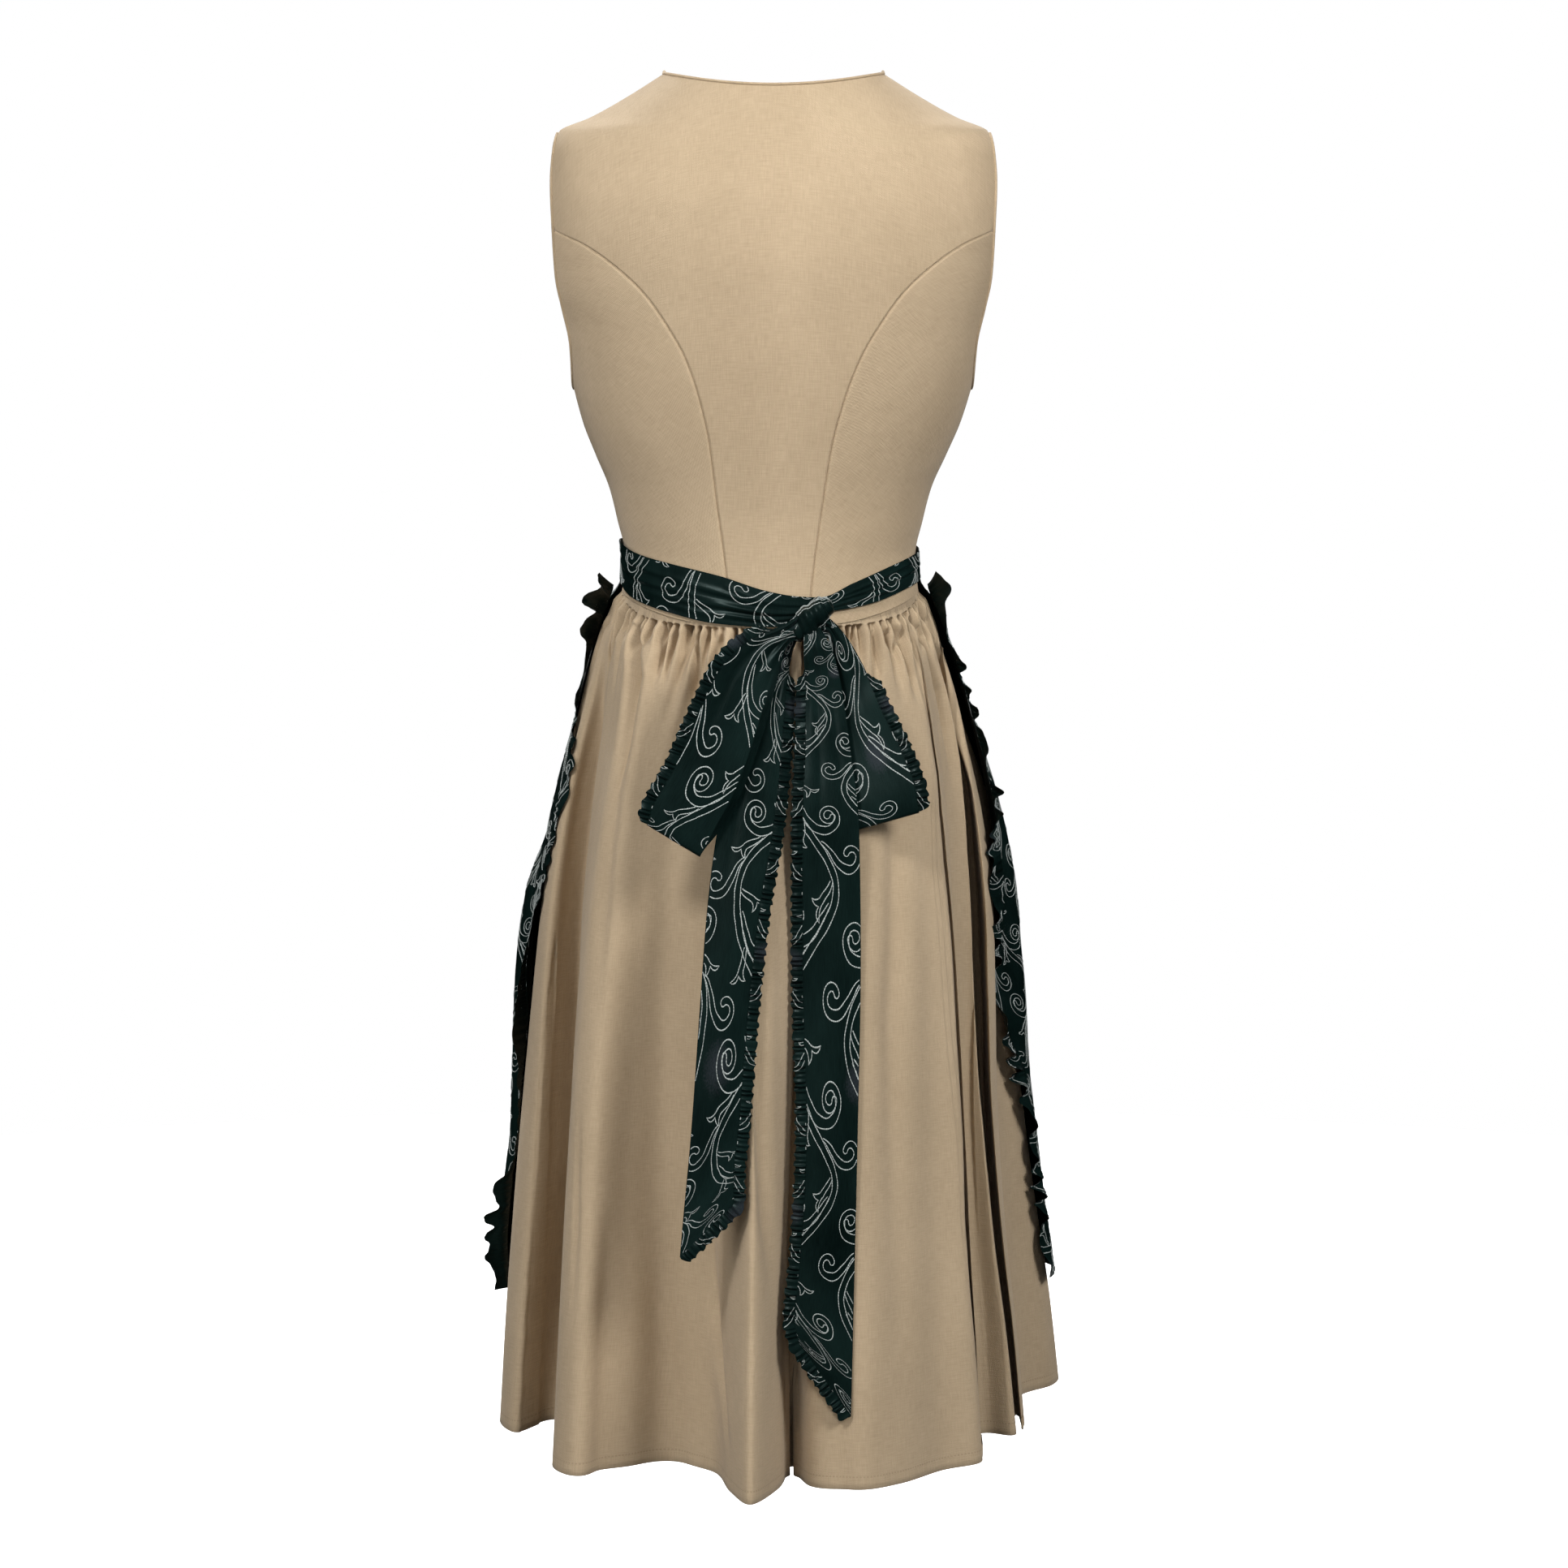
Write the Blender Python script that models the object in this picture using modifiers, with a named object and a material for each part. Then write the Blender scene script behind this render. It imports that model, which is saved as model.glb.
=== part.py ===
"""Sleeveless dirndl dress with a gathered skirt and a satin apron tied in a bow at the back.

The dress keeps the hollow form it has when worn.  Every cut piece is an open
surface worked out from body rings, fold tables and edge tables, and Solidify
gives it the thickness of its cloth.  +Z is up, the back faces +Y, the wearer's
left is +X, and the origin lies between the shoulders at the side of the neck.
"""
import math
from collections import namedtuple

import bpy
from mathutils import Vector

# ---------------------------------------------------------------- driving dimensions, in metres

BODICE_WALL = 0.0014          # linen twill with its fused edge
SKIRT_WALL = 0.0012           # the same linen, single
SATIN_WALL = 0.0011           # satin, doubled in the ties
BAND_WALL = 0.0013
SEAM_INSET = 0.00025          # each cut edge stays this far inside its seam line
SIDE_SEAM_INSET = 0.00040
EDGE_GAP = 0.0003
PIPING_RADIUS = 0.0013
PIPING_SIDES = 4

LEAN = -0.0028                # the shoulders hang this far to the wearer's right of the waist
LEAN_FROM_Z = -0.345
LEAN_TO_Z = -0.180

SHOULDER_TIP_Z = -0.043
SIDE_NECK_X = 0.0853
BACK_NECK_Z = -0.010
FRONT_NECK_Z = -0.135
UNDERARM_Z = -0.2415
BACK_CROSSING_Z = -0.119      # where the back princess seam meets the armhole
FRONT_CROSSING_Z = -0.152

HEM_Z = -1.061
APRON_HEM_Z = -0.968
SKIRT_DROP = 0.0012           # the skirt's cut edge under the bodice's
FOLD_SAMPLES = 720
BASE_WINDOW = 46              # samples each way that smooth the folds out of the hem
GATHERS = 52                  # gathers round the whole waist seam
GATHER_DEPTH = 0.0030
GATHER_FADE = 0.34            # share of the skirt's length where the longest gathers end
RIGHT_IN_TURN = -108.0        # where the right front hangs in most
LEFT_SEAM = 0.212             # side seams, as shares of the way round from centre back
RIGHT_SEAM = -0.238

BAND_LIFT = 0.0026            # middle of the waistband's wall over the bodice's middle
APRON_LIFT = 0.0075
APRON_GATHERS = 24
APRON_GATHER_DEPTH = 0.0024
APRON_GATHER_FADE = 0.30      # shares of the apron's length
APRON_RISE = 0.03
PUFF_SHARE = 0.30
RUFFLE_WIDTH = 0.024
RUFFLE_WAVES = 20
RUFFLE_START = 0.004          # the ruffle is caught this far under the band
RUFFLE_FAN = 0.020            # its first gathers fan up past the band
RUFFLE_FAN_LENGTH = 0.060
UPPER_HIP_Z = -0.40
FRILL_WIDTH = 0.0085
FRILL_WAVE = 0.0022
FRILL_GAP = 0.0010
TAIL_FRILL_WAVES = 26
LOOP_FRILL_WAVES = 10
TIE_CLEARANCE = 0.0042

KNOT_CENTRE = Vector((-0.0310, 0.1105, -0.4110))
KNOT_HALF = Vector((0.0115, 0.0125, 0.0195))

# ---------------------------------------------------------------- tables

TorsoRing = namedtuple("TorsoRing", "z half_width back_depth front_depth roundness")
TORSO = [
    TorsoRing(-0.4250, 0.1195, 0.0925, 0.1010, 2.00),
    TorsoRing(-0.3700, 0.1130, 0.0885, 0.0960, 2.00),
    TorsoRing(-0.3420, 0.1188, 0.0890, 0.0985, 2.02),
    TorsoRing(-0.3170, 0.1252, 0.0915, 0.1030, 2.05),
    TorsoRing(-0.2920, 0.1359, 0.0950, 0.1090, 2.08),
    TorsoRing(-0.2670, 0.1462, 0.0985, 0.1165, 2.12),
    TorsoRing(-0.2415, 0.1536, 0.1015, 0.1215, 2.18),
    TorsoRing(-0.2040, 0.1625, 0.1050, 0.1225, 2.24),
    TorsoRing(-0.1540, 0.1740, 0.1065, 0.1080, 2.30),
    TorsoRing(-0.1040, 0.1775, 0.1010, 0.0900, 2.32),
    TorsoRing(-0.0600, 0.1735, 0.0860, 0.0740, 2.28),
    TorsoRing(-0.0430, 0.1650, 0.0770, 0.0670, 2.24),
    TorsoRing(-0.0330, 0.1415, 0.0715, 0.0620, 2.20),
    TorsoRing(-0.0173, 0.1130, 0.0620, 0.0550, 2.16),
    TorsoRing(0.0000, 0.0853, 0.0520, 0.0460, 2.12),
]

WaistSeam = namedtuple("WaistSeam", "turn z")
WAIST_SEAM = [
    WaistSeam(0, -0.4185),
    WaistSeam(30, -0.4170),
    WaistSeam(55, -0.4125),
    WaistSeam(72, -0.4050),
    WaistSeam(90, -0.3975),
    WaistSeam(180, -0.4000),
]

SeamPoint = namedtuple("SeamPoint", "z x")
BACK_PRINCESS = [
    SeamPoint(-0.4250, 0.0300),
    SeamPoint(-0.3875, 0.0325),
    SeamPoint(-0.3200, 0.0411),
    SeamPoint(-0.2800, 0.0467),
    SeamPoint(-0.2475, 0.0546),
    SeamPoint(-0.2150, 0.0663),
    SeamPoint(-0.1885, 0.0816),
    SeamPoint(-0.1655, 0.0985),
    SeamPoint(-0.1447, 0.1215),
    SeamPoint(-0.1290, 0.1450),
    SeamPoint(BACK_CROSSING_Z, 0.1677),
]
BACK_ARMHOLE = [
    SeamPoint(UNDERARM_Z, 0.1536),
    SeamPoint(-0.2289, 0.1514),
    SeamPoint(-0.2039, 0.1539),
    SeamPoint(-0.1789, 0.1603),
    SeamPoint(-0.1539, 0.1656),
    SeamPoint(BACK_CROSSING_Z, 0.1677),
    SeamPoint(-0.0792, 0.1692),
    SeamPoint(-0.0569, 0.1676),
    SeamPoint(SHOULDER_TIP_Z, 0.1650),
]
FRONT_PRINCESS = [
    SeamPoint(-0.4100, 0.0480),
    SeamPoint(-0.3300, 0.0600),
    SeamPoint(-0.2600, 0.0780),
    SeamPoint(-0.2200, 0.0920),
    SeamPoint(-0.1900, 0.1080),
    SeamPoint(-0.1700, 0.1250),
    SeamPoint(FRONT_CROSSING_Z, 0.1480),
]
FRONT_ARMHOLE = [
    SeamPoint(UNDERARM_Z, 0.1536),
    SeamPoint(-0.2150, 0.1515),
    SeamPoint(-0.1800, 0.1495),
    SeamPoint(FRONT_CROSSING_Z, 0.1480),
    SeamPoint(-0.1200, 0.1490),
    SeamPoint(-0.0900, 0.1530),
    SeamPoint(-0.0600, 0.1605),
    SeamPoint(SHOULDER_TIP_Z, 0.1650),
]
SHOULDER_LINE = [
    SeamPoint(SHOULDER_TIP_Z, 0.1650),
    SeamPoint(-0.0330, 0.1415),
    SeamPoint(-0.0173, 0.1130),
    SeamPoint(0.0000, SIDE_NECK_X),
]

# Plan of the hem, from centre back round by the wearer's left: the crest or side of each fold.
HemFold = namedtuple("HemFold", "name x y")
HEM = [
    HemFold("centre fold, crest", 0.014, 0.241),
    HemFold("centre fold, left side", 0.030, 0.205),
    HemFold("left back hollow, near side", 0.044, 0.147),
    HemFold("left back hollow", 0.083, 0.120),
    HemFold("left back hollow, far side", 0.113, 0.134),
    HemFold("left back fold, crest", 0.145, 0.160),
    HemFold("left back fold, edge", 0.166, 0.138),
    HemFold("left back fold, turned in", 0.165, 0.095),
    HemFold("left hip groove", 0.156, 0.052),
    HemFold("left side fold, rising", 0.180, 0.026),
    HemFold("left side fold, crest", 0.201, 0.032),
    HemFold("left side fold, edge", 0.215, 0.002),
    HemFold("left side fold, front", 0.213, -0.040),
    HemFold("left side groove", 0.198, -0.074),
    HemFold("left front fold, crest", 0.213, -0.116),
    HemFold("left front fold, front", 0.195, -0.155),
    HemFold("left front groove", 0.163, -0.160),
    HemFold("left lap fold, crest", 0.140, -0.208),
    HemFold("left lap groove", 0.103, -0.184),
    HemFold("left middle fold, crest", 0.066, -0.224),
    HemFold("left middle groove", 0.030, -0.200),
    HemFold("middle fold, crest", -0.006, -0.232),
    HemFold("right middle groove", -0.045, -0.198),
    HemFold("right middle fold, crest", -0.083, -0.226),
    HemFold("right lap groove", -0.118, -0.188),
    HemFold("right lap fold, crest", -0.156, -0.212),
    HemFold("right front groove", -0.184, -0.182),
    HemFold("right front fold, front", -0.218, -0.183),
    HemFold("right front fold, crest", -0.240, -0.155),
    HemFold("right front fold, edge", -0.235, -0.122),
    HemFold("right front fold, turned in", -0.211, -0.094),
    HemFold("right side groove", -0.192, -0.055),
    HemFold("right side fold, edge", -0.206, -0.006),
    HemFold("right side fold, crest", -0.196, 0.040),
    HemFold("right side fold, inner side", -0.172, 0.034),
    HemFold("right hip groove", -0.148, 0.058),
    HemFold("right back fold, turned in", -0.163, 0.096),
    HemFold("right back fold, edge", -0.163, 0.124),
    HemFold("right back fold, outer part", -0.133, 0.145),
    HemFold("right back fold, rising", -0.100, 0.182),
    HemFold("right back fold, crest", -0.063, 0.202),
    HemFold("right back fold, inner part", -0.032, 0.190),
    HemFold("centre groove", -0.016, 0.150),
    HemFold("centre fold, right side", -0.007, 0.196),
]

# How far the skirt has flared, how far its folds have grown, and how far its right front
# hangs in, down its length.
SkirtLevel = namedtuple("SkirtLevel", "drop flare folds right_in")
SKIRT_LEVELS = [
    SkirtLevel(0.00, 0.000, 0.00, 0.000),
    SkirtLevel(0.03, 0.085, 0.03, 0.000),
    SkirtLevel(0.07, 0.185, 0.09, 0.000),
    SkirtLevel(0.13, 0.310, 0.18, -0.003),
    SkirtLevel(0.20, 0.450, 0.29, -0.004),
    SkirtLevel(0.28, 0.580, 0.40, -0.003),
    SkirtLevel(0.38, 0.690, 0.52, 0.001),
    SkirtLevel(0.48, 0.755, 0.62, 0.006),
    SkirtLevel(0.62, 0.825, 0.74, 0.010),
    SkirtLevel(0.76, 0.890, 0.85, 0.009),
    SkirtLevel(0.88, 0.950, 0.93, 0.006),
    SkirtLevel(1.00, 1.000, 1.00, 0.004),
]

BandLine = namedtuple("BandLine", "turn top bottom")
BAND = [
    BandLine(-180, -0.3600, -0.3930),
    BandLine(-125, -0.3615, -0.3910),
    BandLine(-90, -0.3650, -0.3885),
    BandLine(-70, -0.3690, -0.3912),
    BandLine(-55, -0.3740, -0.3962),
    BandLine(-43, -0.3800, -0.4014),
    BandLine(-33, -0.3862, -0.4045),
    BandLine(-19, -0.3960, -0.4085),
    BandLine(-10, -0.3950, -0.4165),
    BandLine(0, -0.3915, -0.4182),
    BandLine(20, -0.3796, -0.4160),
    BandLine(40, -0.3722, -0.4090),
    BandLine(63, -0.3656, -0.4005),
    BandLine(90, -0.3575, -0.3890),
    BandLine(125, -0.3590, -0.3915),
    BandLine(180, -0.3600, -0.3930),
]
TIE_MEETING_TURN = -19.0      # under the knot

# The apron's two side edges, how far it puffs off the skirt there, and its ruffles, by height.
ApronEdge = namedtuple("ApronEdge", "z left right puff_left puff_right stand wave")
APRON_EDGES = [
    ApronEdge(APRON_HEM_Z, 0.2860, -0.3400, 0.0090, 0.0000, 0.0060, 0.0055),
    ApronEdge(-0.925, 0.2870, -0.3410, 0.0130, 0.0000, 0.0060, 0.0055),
    ApronEdge(-0.850, 0.2900, -0.3410, 0.0085, 0.0000, 0.0035, 0.0045),
    ApronEdge(-0.780, 0.2920, -0.3400, 0.0125, 0.0000, 0.0030, 0.0040),
    ApronEdge(-0.700, 0.2920, -0.3240, 0.0165, 0.0020, 0.0030, 0.0040),
    ApronEdge(-0.640, 0.2890, -0.3180, 0.0150, 0.0030, 0.0030, 0.0040),
    ApronEdge(-0.570, 0.2830, -0.3160, 0.0030, 0.0030, 0.0035, 0.0045),
    ApronEdge(-0.500, 0.2740, -0.2850, 0.0000, 0.0030, 0.0030, 0.0050),
    ApronEdge(-0.450, 0.2650, -0.2610, 0.0000, 0.0040, 0.0040, 0.0065),
    ApronEdge(-0.415, 0.2620, -0.2600, 0.0000, 0.0020, 0.0160, 0.0060),
    ApronEdge(-0.385, 0.2600, -0.2600, 0.0000, 0.0000, 0.0190, 0.0040),
]

# Bow pieces, each by the two edges of its satin down its length.
Station = namedtuple("Station", "left_x left_z right_x right_z")
TAIL_LEFT = [
    Station(-0.0120, -0.4330, -0.0215, -0.4355),
    Station(0.0020, -0.4560, -0.0110, -0.4620),
    Station(0.0180, -0.4960, -0.0060, -0.5080),
    Station(0.0370, -0.5540, -0.0020, -0.5640),
    Station(0.0465, -0.6210, 0.0070, -0.6210),
    Station(0.0520, -0.6950, 0.0155, -0.6950),
    Station(0.0585, -0.7870, 0.0225, -0.7800),
    Station(0.0640, -0.8460, 0.0262, -0.8160),
    Station(0.0668, -0.8780, 0.0262, -0.8380),
]
TAIL_RIGHT = [
    Station(-0.0305, -0.4340, -0.0420, -0.4300),
    Station(-0.0315, -0.4620, -0.0500, -0.4560),
    Station(-0.0300, -0.5080, -0.0610, -0.5080),
    Station(-0.0250, -0.5640, -0.0672, -0.5660),
    Station(-0.0245, -0.6650, -0.0685, -0.6650),
    Station(-0.0275, -0.7870, -0.0663, -0.7870),
    Station(-0.0235, -0.8750, -0.0643, -0.8750),
    Station(-0.0185, -0.9300, -0.0622, -0.9650),
    Station(-0.0215, -0.9480, -0.0612, -1.0050),
]
LOOP_LEFT = [
    Station(-0.0130, -0.4130, -0.0140, -0.4290),
    Station(0.0120, -0.4230, -0.0060, -0.4450),
    Station(0.0340, -0.4410, 0.0030, -0.4700),
    Station(0.0525, -0.4760, 0.0120, -0.4980),
    Station(0.0705, -0.5160, 0.0250, -0.5330),
    Station(0.0870, -0.5450, 0.0420, -0.5640),
    Station(0.0915, -0.5590, 0.0520, -0.5830),
]
LOOP_RIGHT = [
    Station(-0.0445, -0.4260, -0.0445, -0.4100),
    Station(-0.0460, -0.4420, -0.0560, -0.4210),
    Station(-0.0480, -0.4660, -0.0710, -0.4460),
    Station(-0.0530, -0.4960, -0.0820, -0.4730),
    Station(-0.0580, -0.5250, -0.0985, -0.5060),
    Station(-0.0630, -0.5520, -0.1100, -0.5360),
    Station(-0.0670, -0.5670, -0.1125, -0.5540),
]
LOOP_OPEN = 0.0120            # between the two layers of a loop, at its fullest
LEFT_LOOP_SLIP = -0.006       # how far a loop's inner layer shows beside its outer one
RIGHT_LOOP_SLIP = 0.004
LEFT_TAIL_START = 0.108       # how far back each piece leaves the knot
RIGHT_TAIL_START = 0.120
LEFT_LOOP_START = 0.112
RIGHT_LOOP_START = 0.106
LOOP_PINCH = 0.30             # share of that beside the knot
LAYER = 0.0045                # from one bow piece to the next above it

# ---------------------------------------------------------------- scene, collections, materials

for old in list(bpy.data.objects):
    bpy.data.objects.remove(old, do_unlink=True)

dress_parts = bpy.data.collections.new("dirndl_dress")
bpy.context.scene.collection.children.link(dress_parts)


def cloth_material(name, colour, roughness):
    material = bpy.data.materials.new(name)
    material.use_nodes = True
    shader = material.node_tree.nodes["Principled BSDF"]
    shader.inputs["Base Color"].default_value = (*colour, 1.0)
    shader.inputs["Roughness"].default_value = roughness
    shader.inputs["Metallic"].default_value = 0.0
    material.diffuse_color = (*colour, 1.0)
    return material


LINEN = cloth_material("beige linen twill", (0.50, 0.38, 0.24), 0.85)
SATIN = cloth_material("bottle green satin", (0.012, 0.045, 0.035), 0.40)

# ---------------------------------------------------------------- curves through tables


def column(table, key, name):
    """A smooth curve through one column of a table, which never overshoots its rows."""
    at = [getattr(row, key) for row in table]
    value = [getattr(row, name) for row in table]
    steps = [(value[i + 1] - value[i]) / (at[i + 1] - at[i]) for i in range(len(at) - 1)]
    slopes = [steps[0]]
    for before, after in zip(steps, steps[1:]):
        slopes.append(0.0 if before * after <= 0 else 2 * before * after / (before + after))
    slopes.append(steps[-1])

    def curve(x):
        x = min(max(x, at[0]), at[-1])
        i = 0
        while i < len(at) - 2 and x > at[i + 1]:
            i += 1
        width = at[i + 1] - at[i]
        t = (x - at[i]) / width
        rise = (1 + 2 * t) * (1 - t) ** 2 * value[i] + t * t * (3 - 2 * t) * value[i + 1]
        return rise + width * (t * (1 - t) ** 2 * slopes[i] - t * t * (1 - t) * slopes[i + 1])

    return curve


def spread(first, last, count):
    return [first + (last - first) * i / count for i in range(count + 1)]


def ease(t):
    t = min(max(t, 0.0), 1.0)
    return t * t * (3 - 2 * t)


half_width = column(TORSO, "z", "half_width")
back_depth = column(TORSO, "z", "back_depth")
front_depth = column(TORSO, "z", "front_depth")
roundness = column(TORSO, "z", "roundness")
waist_seam_by_turn = column(WAIST_SEAM, "turn", "z")
band_top = column(BAND, "turn", "top")
band_bottom = column(BAND, "turn", "bottom")
flare_by_drop = column(SKIRT_LEVELS, "drop", "flare")
folds_by_drop = column(SKIRT_LEVELS, "drop", "folds")
right_in_by_drop = column(SKIRT_LEVELS, "drop", "right_in")
apron_left = column(APRON_EDGES, "z", "left")
apron_right = column(APRON_EDGES, "z", "right")
puff_left = column(APRON_EDGES, "z", "puff_left")
puff_right = column(APRON_EDGES, "z", "puff_right")
ruffle_stand = column(APRON_EDGES, "z", "stand")
ruffle_wave = column(APRON_EDGES, "z", "wave")


def signed_turn(turn):
    return (turn + 180.0) % 360.0 - 180.0


def waist_seam(turn):
    return waist_seam_by_turn(abs(signed_turn(turn)))


def torso(turn, z, out=0.0):
    """A point of the body form: turn is 0 at centre back, 90 at the wearer's left side."""
    angle = math.radians(turn)
    across, back = math.sin(angle), math.cos(angle)
    power = 2.0 / roundness(z)
    a = half_width(z)
    b = back_depth(z) if back > 0 else front_depth(z)
    x = math.copysign(a * abs(across) ** power, across)
    y = math.copysign(b * abs(back) ** power, back)
    if out:
        n = roundness(z) - 1.0
        normal = Vector((math.copysign(abs(x / a) ** n / a, x), math.copysign(abs(y / b) ** n / b, y), 0))
        normal.normalize()
        x += out * normal.x
        y += out * normal.y
    return Vector((x, y, z))


def turn_at(x, z, front=False):
    share = min(abs(x) / half_width(z), 1.0)
    turn = math.degrees(math.asin(share ** (roundness(z) / 2.0)))
    turn = 180.0 - turn if front else turn
    return math.copysign(turn, x)


# ---------------------------------------------------------------- making the pieces


def leaned(point):
    """The point in the dress as it hangs, with the shoulders a little to one side."""
    return (point.x + LEAN * ease((point.z - LEAN_FROM_Z) / (LEAN_TO_Z - LEAN_FROM_Z)), point.y, point.z)


def sheet(name, rows, wall, material, flip=False):
    """A cloth wall over rows of points; a row may have half the columns of the row before."""
    points, starts, faces = [], [], []
    for row in rows:
        starts.append(len(points))
        points.extend(row)
    for upper in range(len(rows) - 1):
        a, b = starts[upper], starts[upper + 1]
        many, few = len(rows[upper]) - 1, len(rows[upper + 1]) - 1
        if many == few:
            faces += [(a + i, b + i, b + i + 1, a + i + 1) for i in range(many)]
        else:
            for i in range(few):
                faces.append((a + 2 * i, b + i, b + i + 1, a + 2 * i + 2, a + 2 * i + 1))
    if flip:
        faces = [tuple(reversed(face)) for face in faces]
    mesh = bpy.data.meshes.new(name)
    mesh.from_pydata([leaned(point) for point in points], [], faces)
    mesh.shade_smooth()
    piece = bpy.data.objects.new(name, mesh)
    piece.data.materials.append(material)
    dress_parts.objects.link(piece)
    shell = piece.modifiers.new("cloth thickness", "SOLIDIFY")
    shell.thickness = wall
    shell.offset = 0.0
    return piece


def mirrored(rows):
    return [[Vector((-point.x, point.y, point.z)) for point in row] for row in rows]


def piping(name, points, closed):
    """A thin cord through the points, its cross-section turned to face off the body's axis."""
    count = len(points)
    corners, faces = [], []
    for i, point in enumerate(points):
        before = points[i - 1] if closed or i else point
        after = points[(i + 1) % count] if closed or i + 1 < count else point
        along = (after - before).normalized()
        off_body = Vector((point.x, point.y, 0.0))
        off_body = (off_body - along * off_body.dot(along)).normalized()
        across = along.cross(off_body)
        for corner in range(PIPING_SIDES):
            turn = 2 * math.pi * corner / PIPING_SIDES
            corners.append(point + (off_body * math.cos(turn) + across * math.sin(turn)) * PIPING_RADIUS)
    for i in range(count if closed else count - 1):
        here, there = i * PIPING_SIDES, (i + 1) % count * PIPING_SIDES
        for corner in range(PIPING_SIDES):
            beside = (corner + 1) % PIPING_SIDES
            faces.append((here + corner, here + beside, there + beside))
            faces.append((here + corner, there + beside, there + corner))
    if not closed:
        faces += [tuple(reversed(range(PIPING_SIDES))),
                  tuple((count - 1) * PIPING_SIDES + corner for corner in range(PIPING_SIDES))]
    mesh = bpy.data.meshes.new(name)
    mesh.from_pydata([leaned(corner) for corner in corners], [], faces)
    cord = bpy.data.objects.new(name, mesh)
    cord.data.materials.append(LINEN)
    dress_parts.objects.link(cord)
    return cord


# ---------------------------------------------------------------- bodice


def draw_in(rows, first_row=0.0, last_row=0.0, first_column=0.0, last_column=0.0):
    """Trims a piece's edges: each edge point moves over the cloth toward the next point in."""
    for side, amount in ((0, first_column), (-1, last_column)):
        inner = 1 if side == 0 else -2
        for row in rows:
            row[side] = row[side] + (row[inner] - row[side]).normalized() * amount
    for side, amount in ((0, first_row), (-1, last_row)):
        inner = 1 if side == 0 else -2
        rows[side] = [here + (beside - here).normalized() * amount
                      for here, beside in zip(rows[side], rows[inner])]
    return rows


def beside_edge(edges, inners):
    """The middle of a piping that lies along a cut edge, square off the cloth behind it."""
    line = []
    for i, (edge, inner) in enumerate(zip(edges, inners)):
        along = (edges[min(i + 1, len(edges) - 1)] - edges[max(i - 1, 0)]).normalized()
        away = edge - inner
        away = (away - along * away.dot(along)).normalized()
        line.append(edge + away * (EDGE_GAP + SEAM_INSET + PIPING_RADIUS))
    return line


def outer_edge(seam, armhole, levels, arm_steps):
    """The outer edge of a middle panel as (x, z): princess seam, armhole, shoulder line."""
    seam_x, arm_x = column(seam, "z", "x"), column(armhole, "z", "x")
    shoulder_x = column(SHOULDER_LINE, "z", "x")
    edge = [(seam_x(z), z) for z in levels]
    edge += [(arm_x(z), z) for z in spread(levels[-1], SHOULDER_TIP_Z, arm_steps)[1:]]
    edge += [(shoulder_x(z), z) for z in spread(SHOULDER_TIP_Z, 0.0, SHOULDER_STEPS)[1:]]
    return edge


SHOULDER_STEPS = 3
ARM_STEPS = 3
BACK_LEVELS = (waist_seam(16), -0.388, -0.366, -0.338, -0.300, -0.262, -0.225, -0.190,
               -0.160, -0.141, -0.131, -0.124, BACK_CROSSING_Z)
FRONT_LEVELS = (waist_seam(152), -0.384, -0.364, -0.335, -0.300, -0.262, -0.228, -0.198,
                -0.174, -0.161, FRONT_CROSSING_Z)
back_edge = outer_edge(BACK_PRINCESS, BACK_ARMHOLE, BACK_LEVELS, ARM_STEPS)
front_edge = outer_edge(FRONT_PRINCESS, FRONT_ARMHOLE, FRONT_LEVELS, ARM_STEPS)


def across_share(u, number, seam_rows, last):
    """Columns stand even on the seam rows, and crowd to the edge as a panel bends over the shoulder."""
    bent = ease((number - seam_rows) / (last - seam_rows))
    even = abs(u) * (1 - bent) + math.sin(0.5 * math.pi * abs(u)) * bent
    return math.copysign(even, u)


def back_centre_rows(columns):
    rows = []
    seam_rows, last = len(BACK_LEVELS) - 1, len(back_edge) - 1
    for number, (edge_x, edge_z) in enumerate(back_edge):
        if number <= seam_rows:
            way = 1 - number / seam_rows
            middle_z = edge_z + (waist_seam(0) - BACK_LEVELS[0]) * way
        else:
            way = (number - seam_rows) / (last - seam_rows)
            middle_z = BACK_CROSSING_Z + (BACK_NECK_Z - BACK_CROSSING_Z) * way
        row = []
        for u in spread(-1.0, 1.0, columns):
            share = across_share(u, number, seam_rows, last)
            z = edge_z + (middle_z - edge_z) * (1 - share * share)
            row.append(torso(turn_at(share * edge_x, z), z))
        rows.append(row)
    draw_in(rows, last_row=SEAM_INSET, first_column=SEAM_INSET, last_column=SEAM_INSET)
    return open_shoulder(rows)


def front_centre_rows(columns):
    rows = []
    seam_rows, last = len(FRONT_LEVELS) - 1, len(front_edge) - 1
    breast_z = FRONT_NECK_Z - 0.030
    for number, (edge_x, edge_z) in enumerate(front_edge):
        if number <= seam_rows:
            way = (edge_z - FRONT_LEVELS[0]) / (FRONT_CROSSING_Z - FRONT_LEVELS[0])
            middle_z = FRONT_LEVELS[0] + (breast_z - FRONT_LEVELS[0]) * way
        else:
            middle_z = breast_z + (FRONT_NECK_Z - breast_z) * (number - seam_rows) / (last - seam_rows)
        bend = 1.6 + 0.8 * number / last
        row = []
        for u in spread(0.0, 1.0, columns):
            share = across_share(u, number, seam_rows, last)
            z = edge_z + (middle_z - edge_z) * (1 - share ** bend)
            row.append(torso(turn_at(share * edge_x, z, front=True), z))
        row[0].x = 0.0
        rows.append(row)
    draw_in(rows, last_row=SEAM_INSET, first_column=SEAM_INSET, last_column=SEAM_INSET)
    return open_shoulder(rows)


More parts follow.
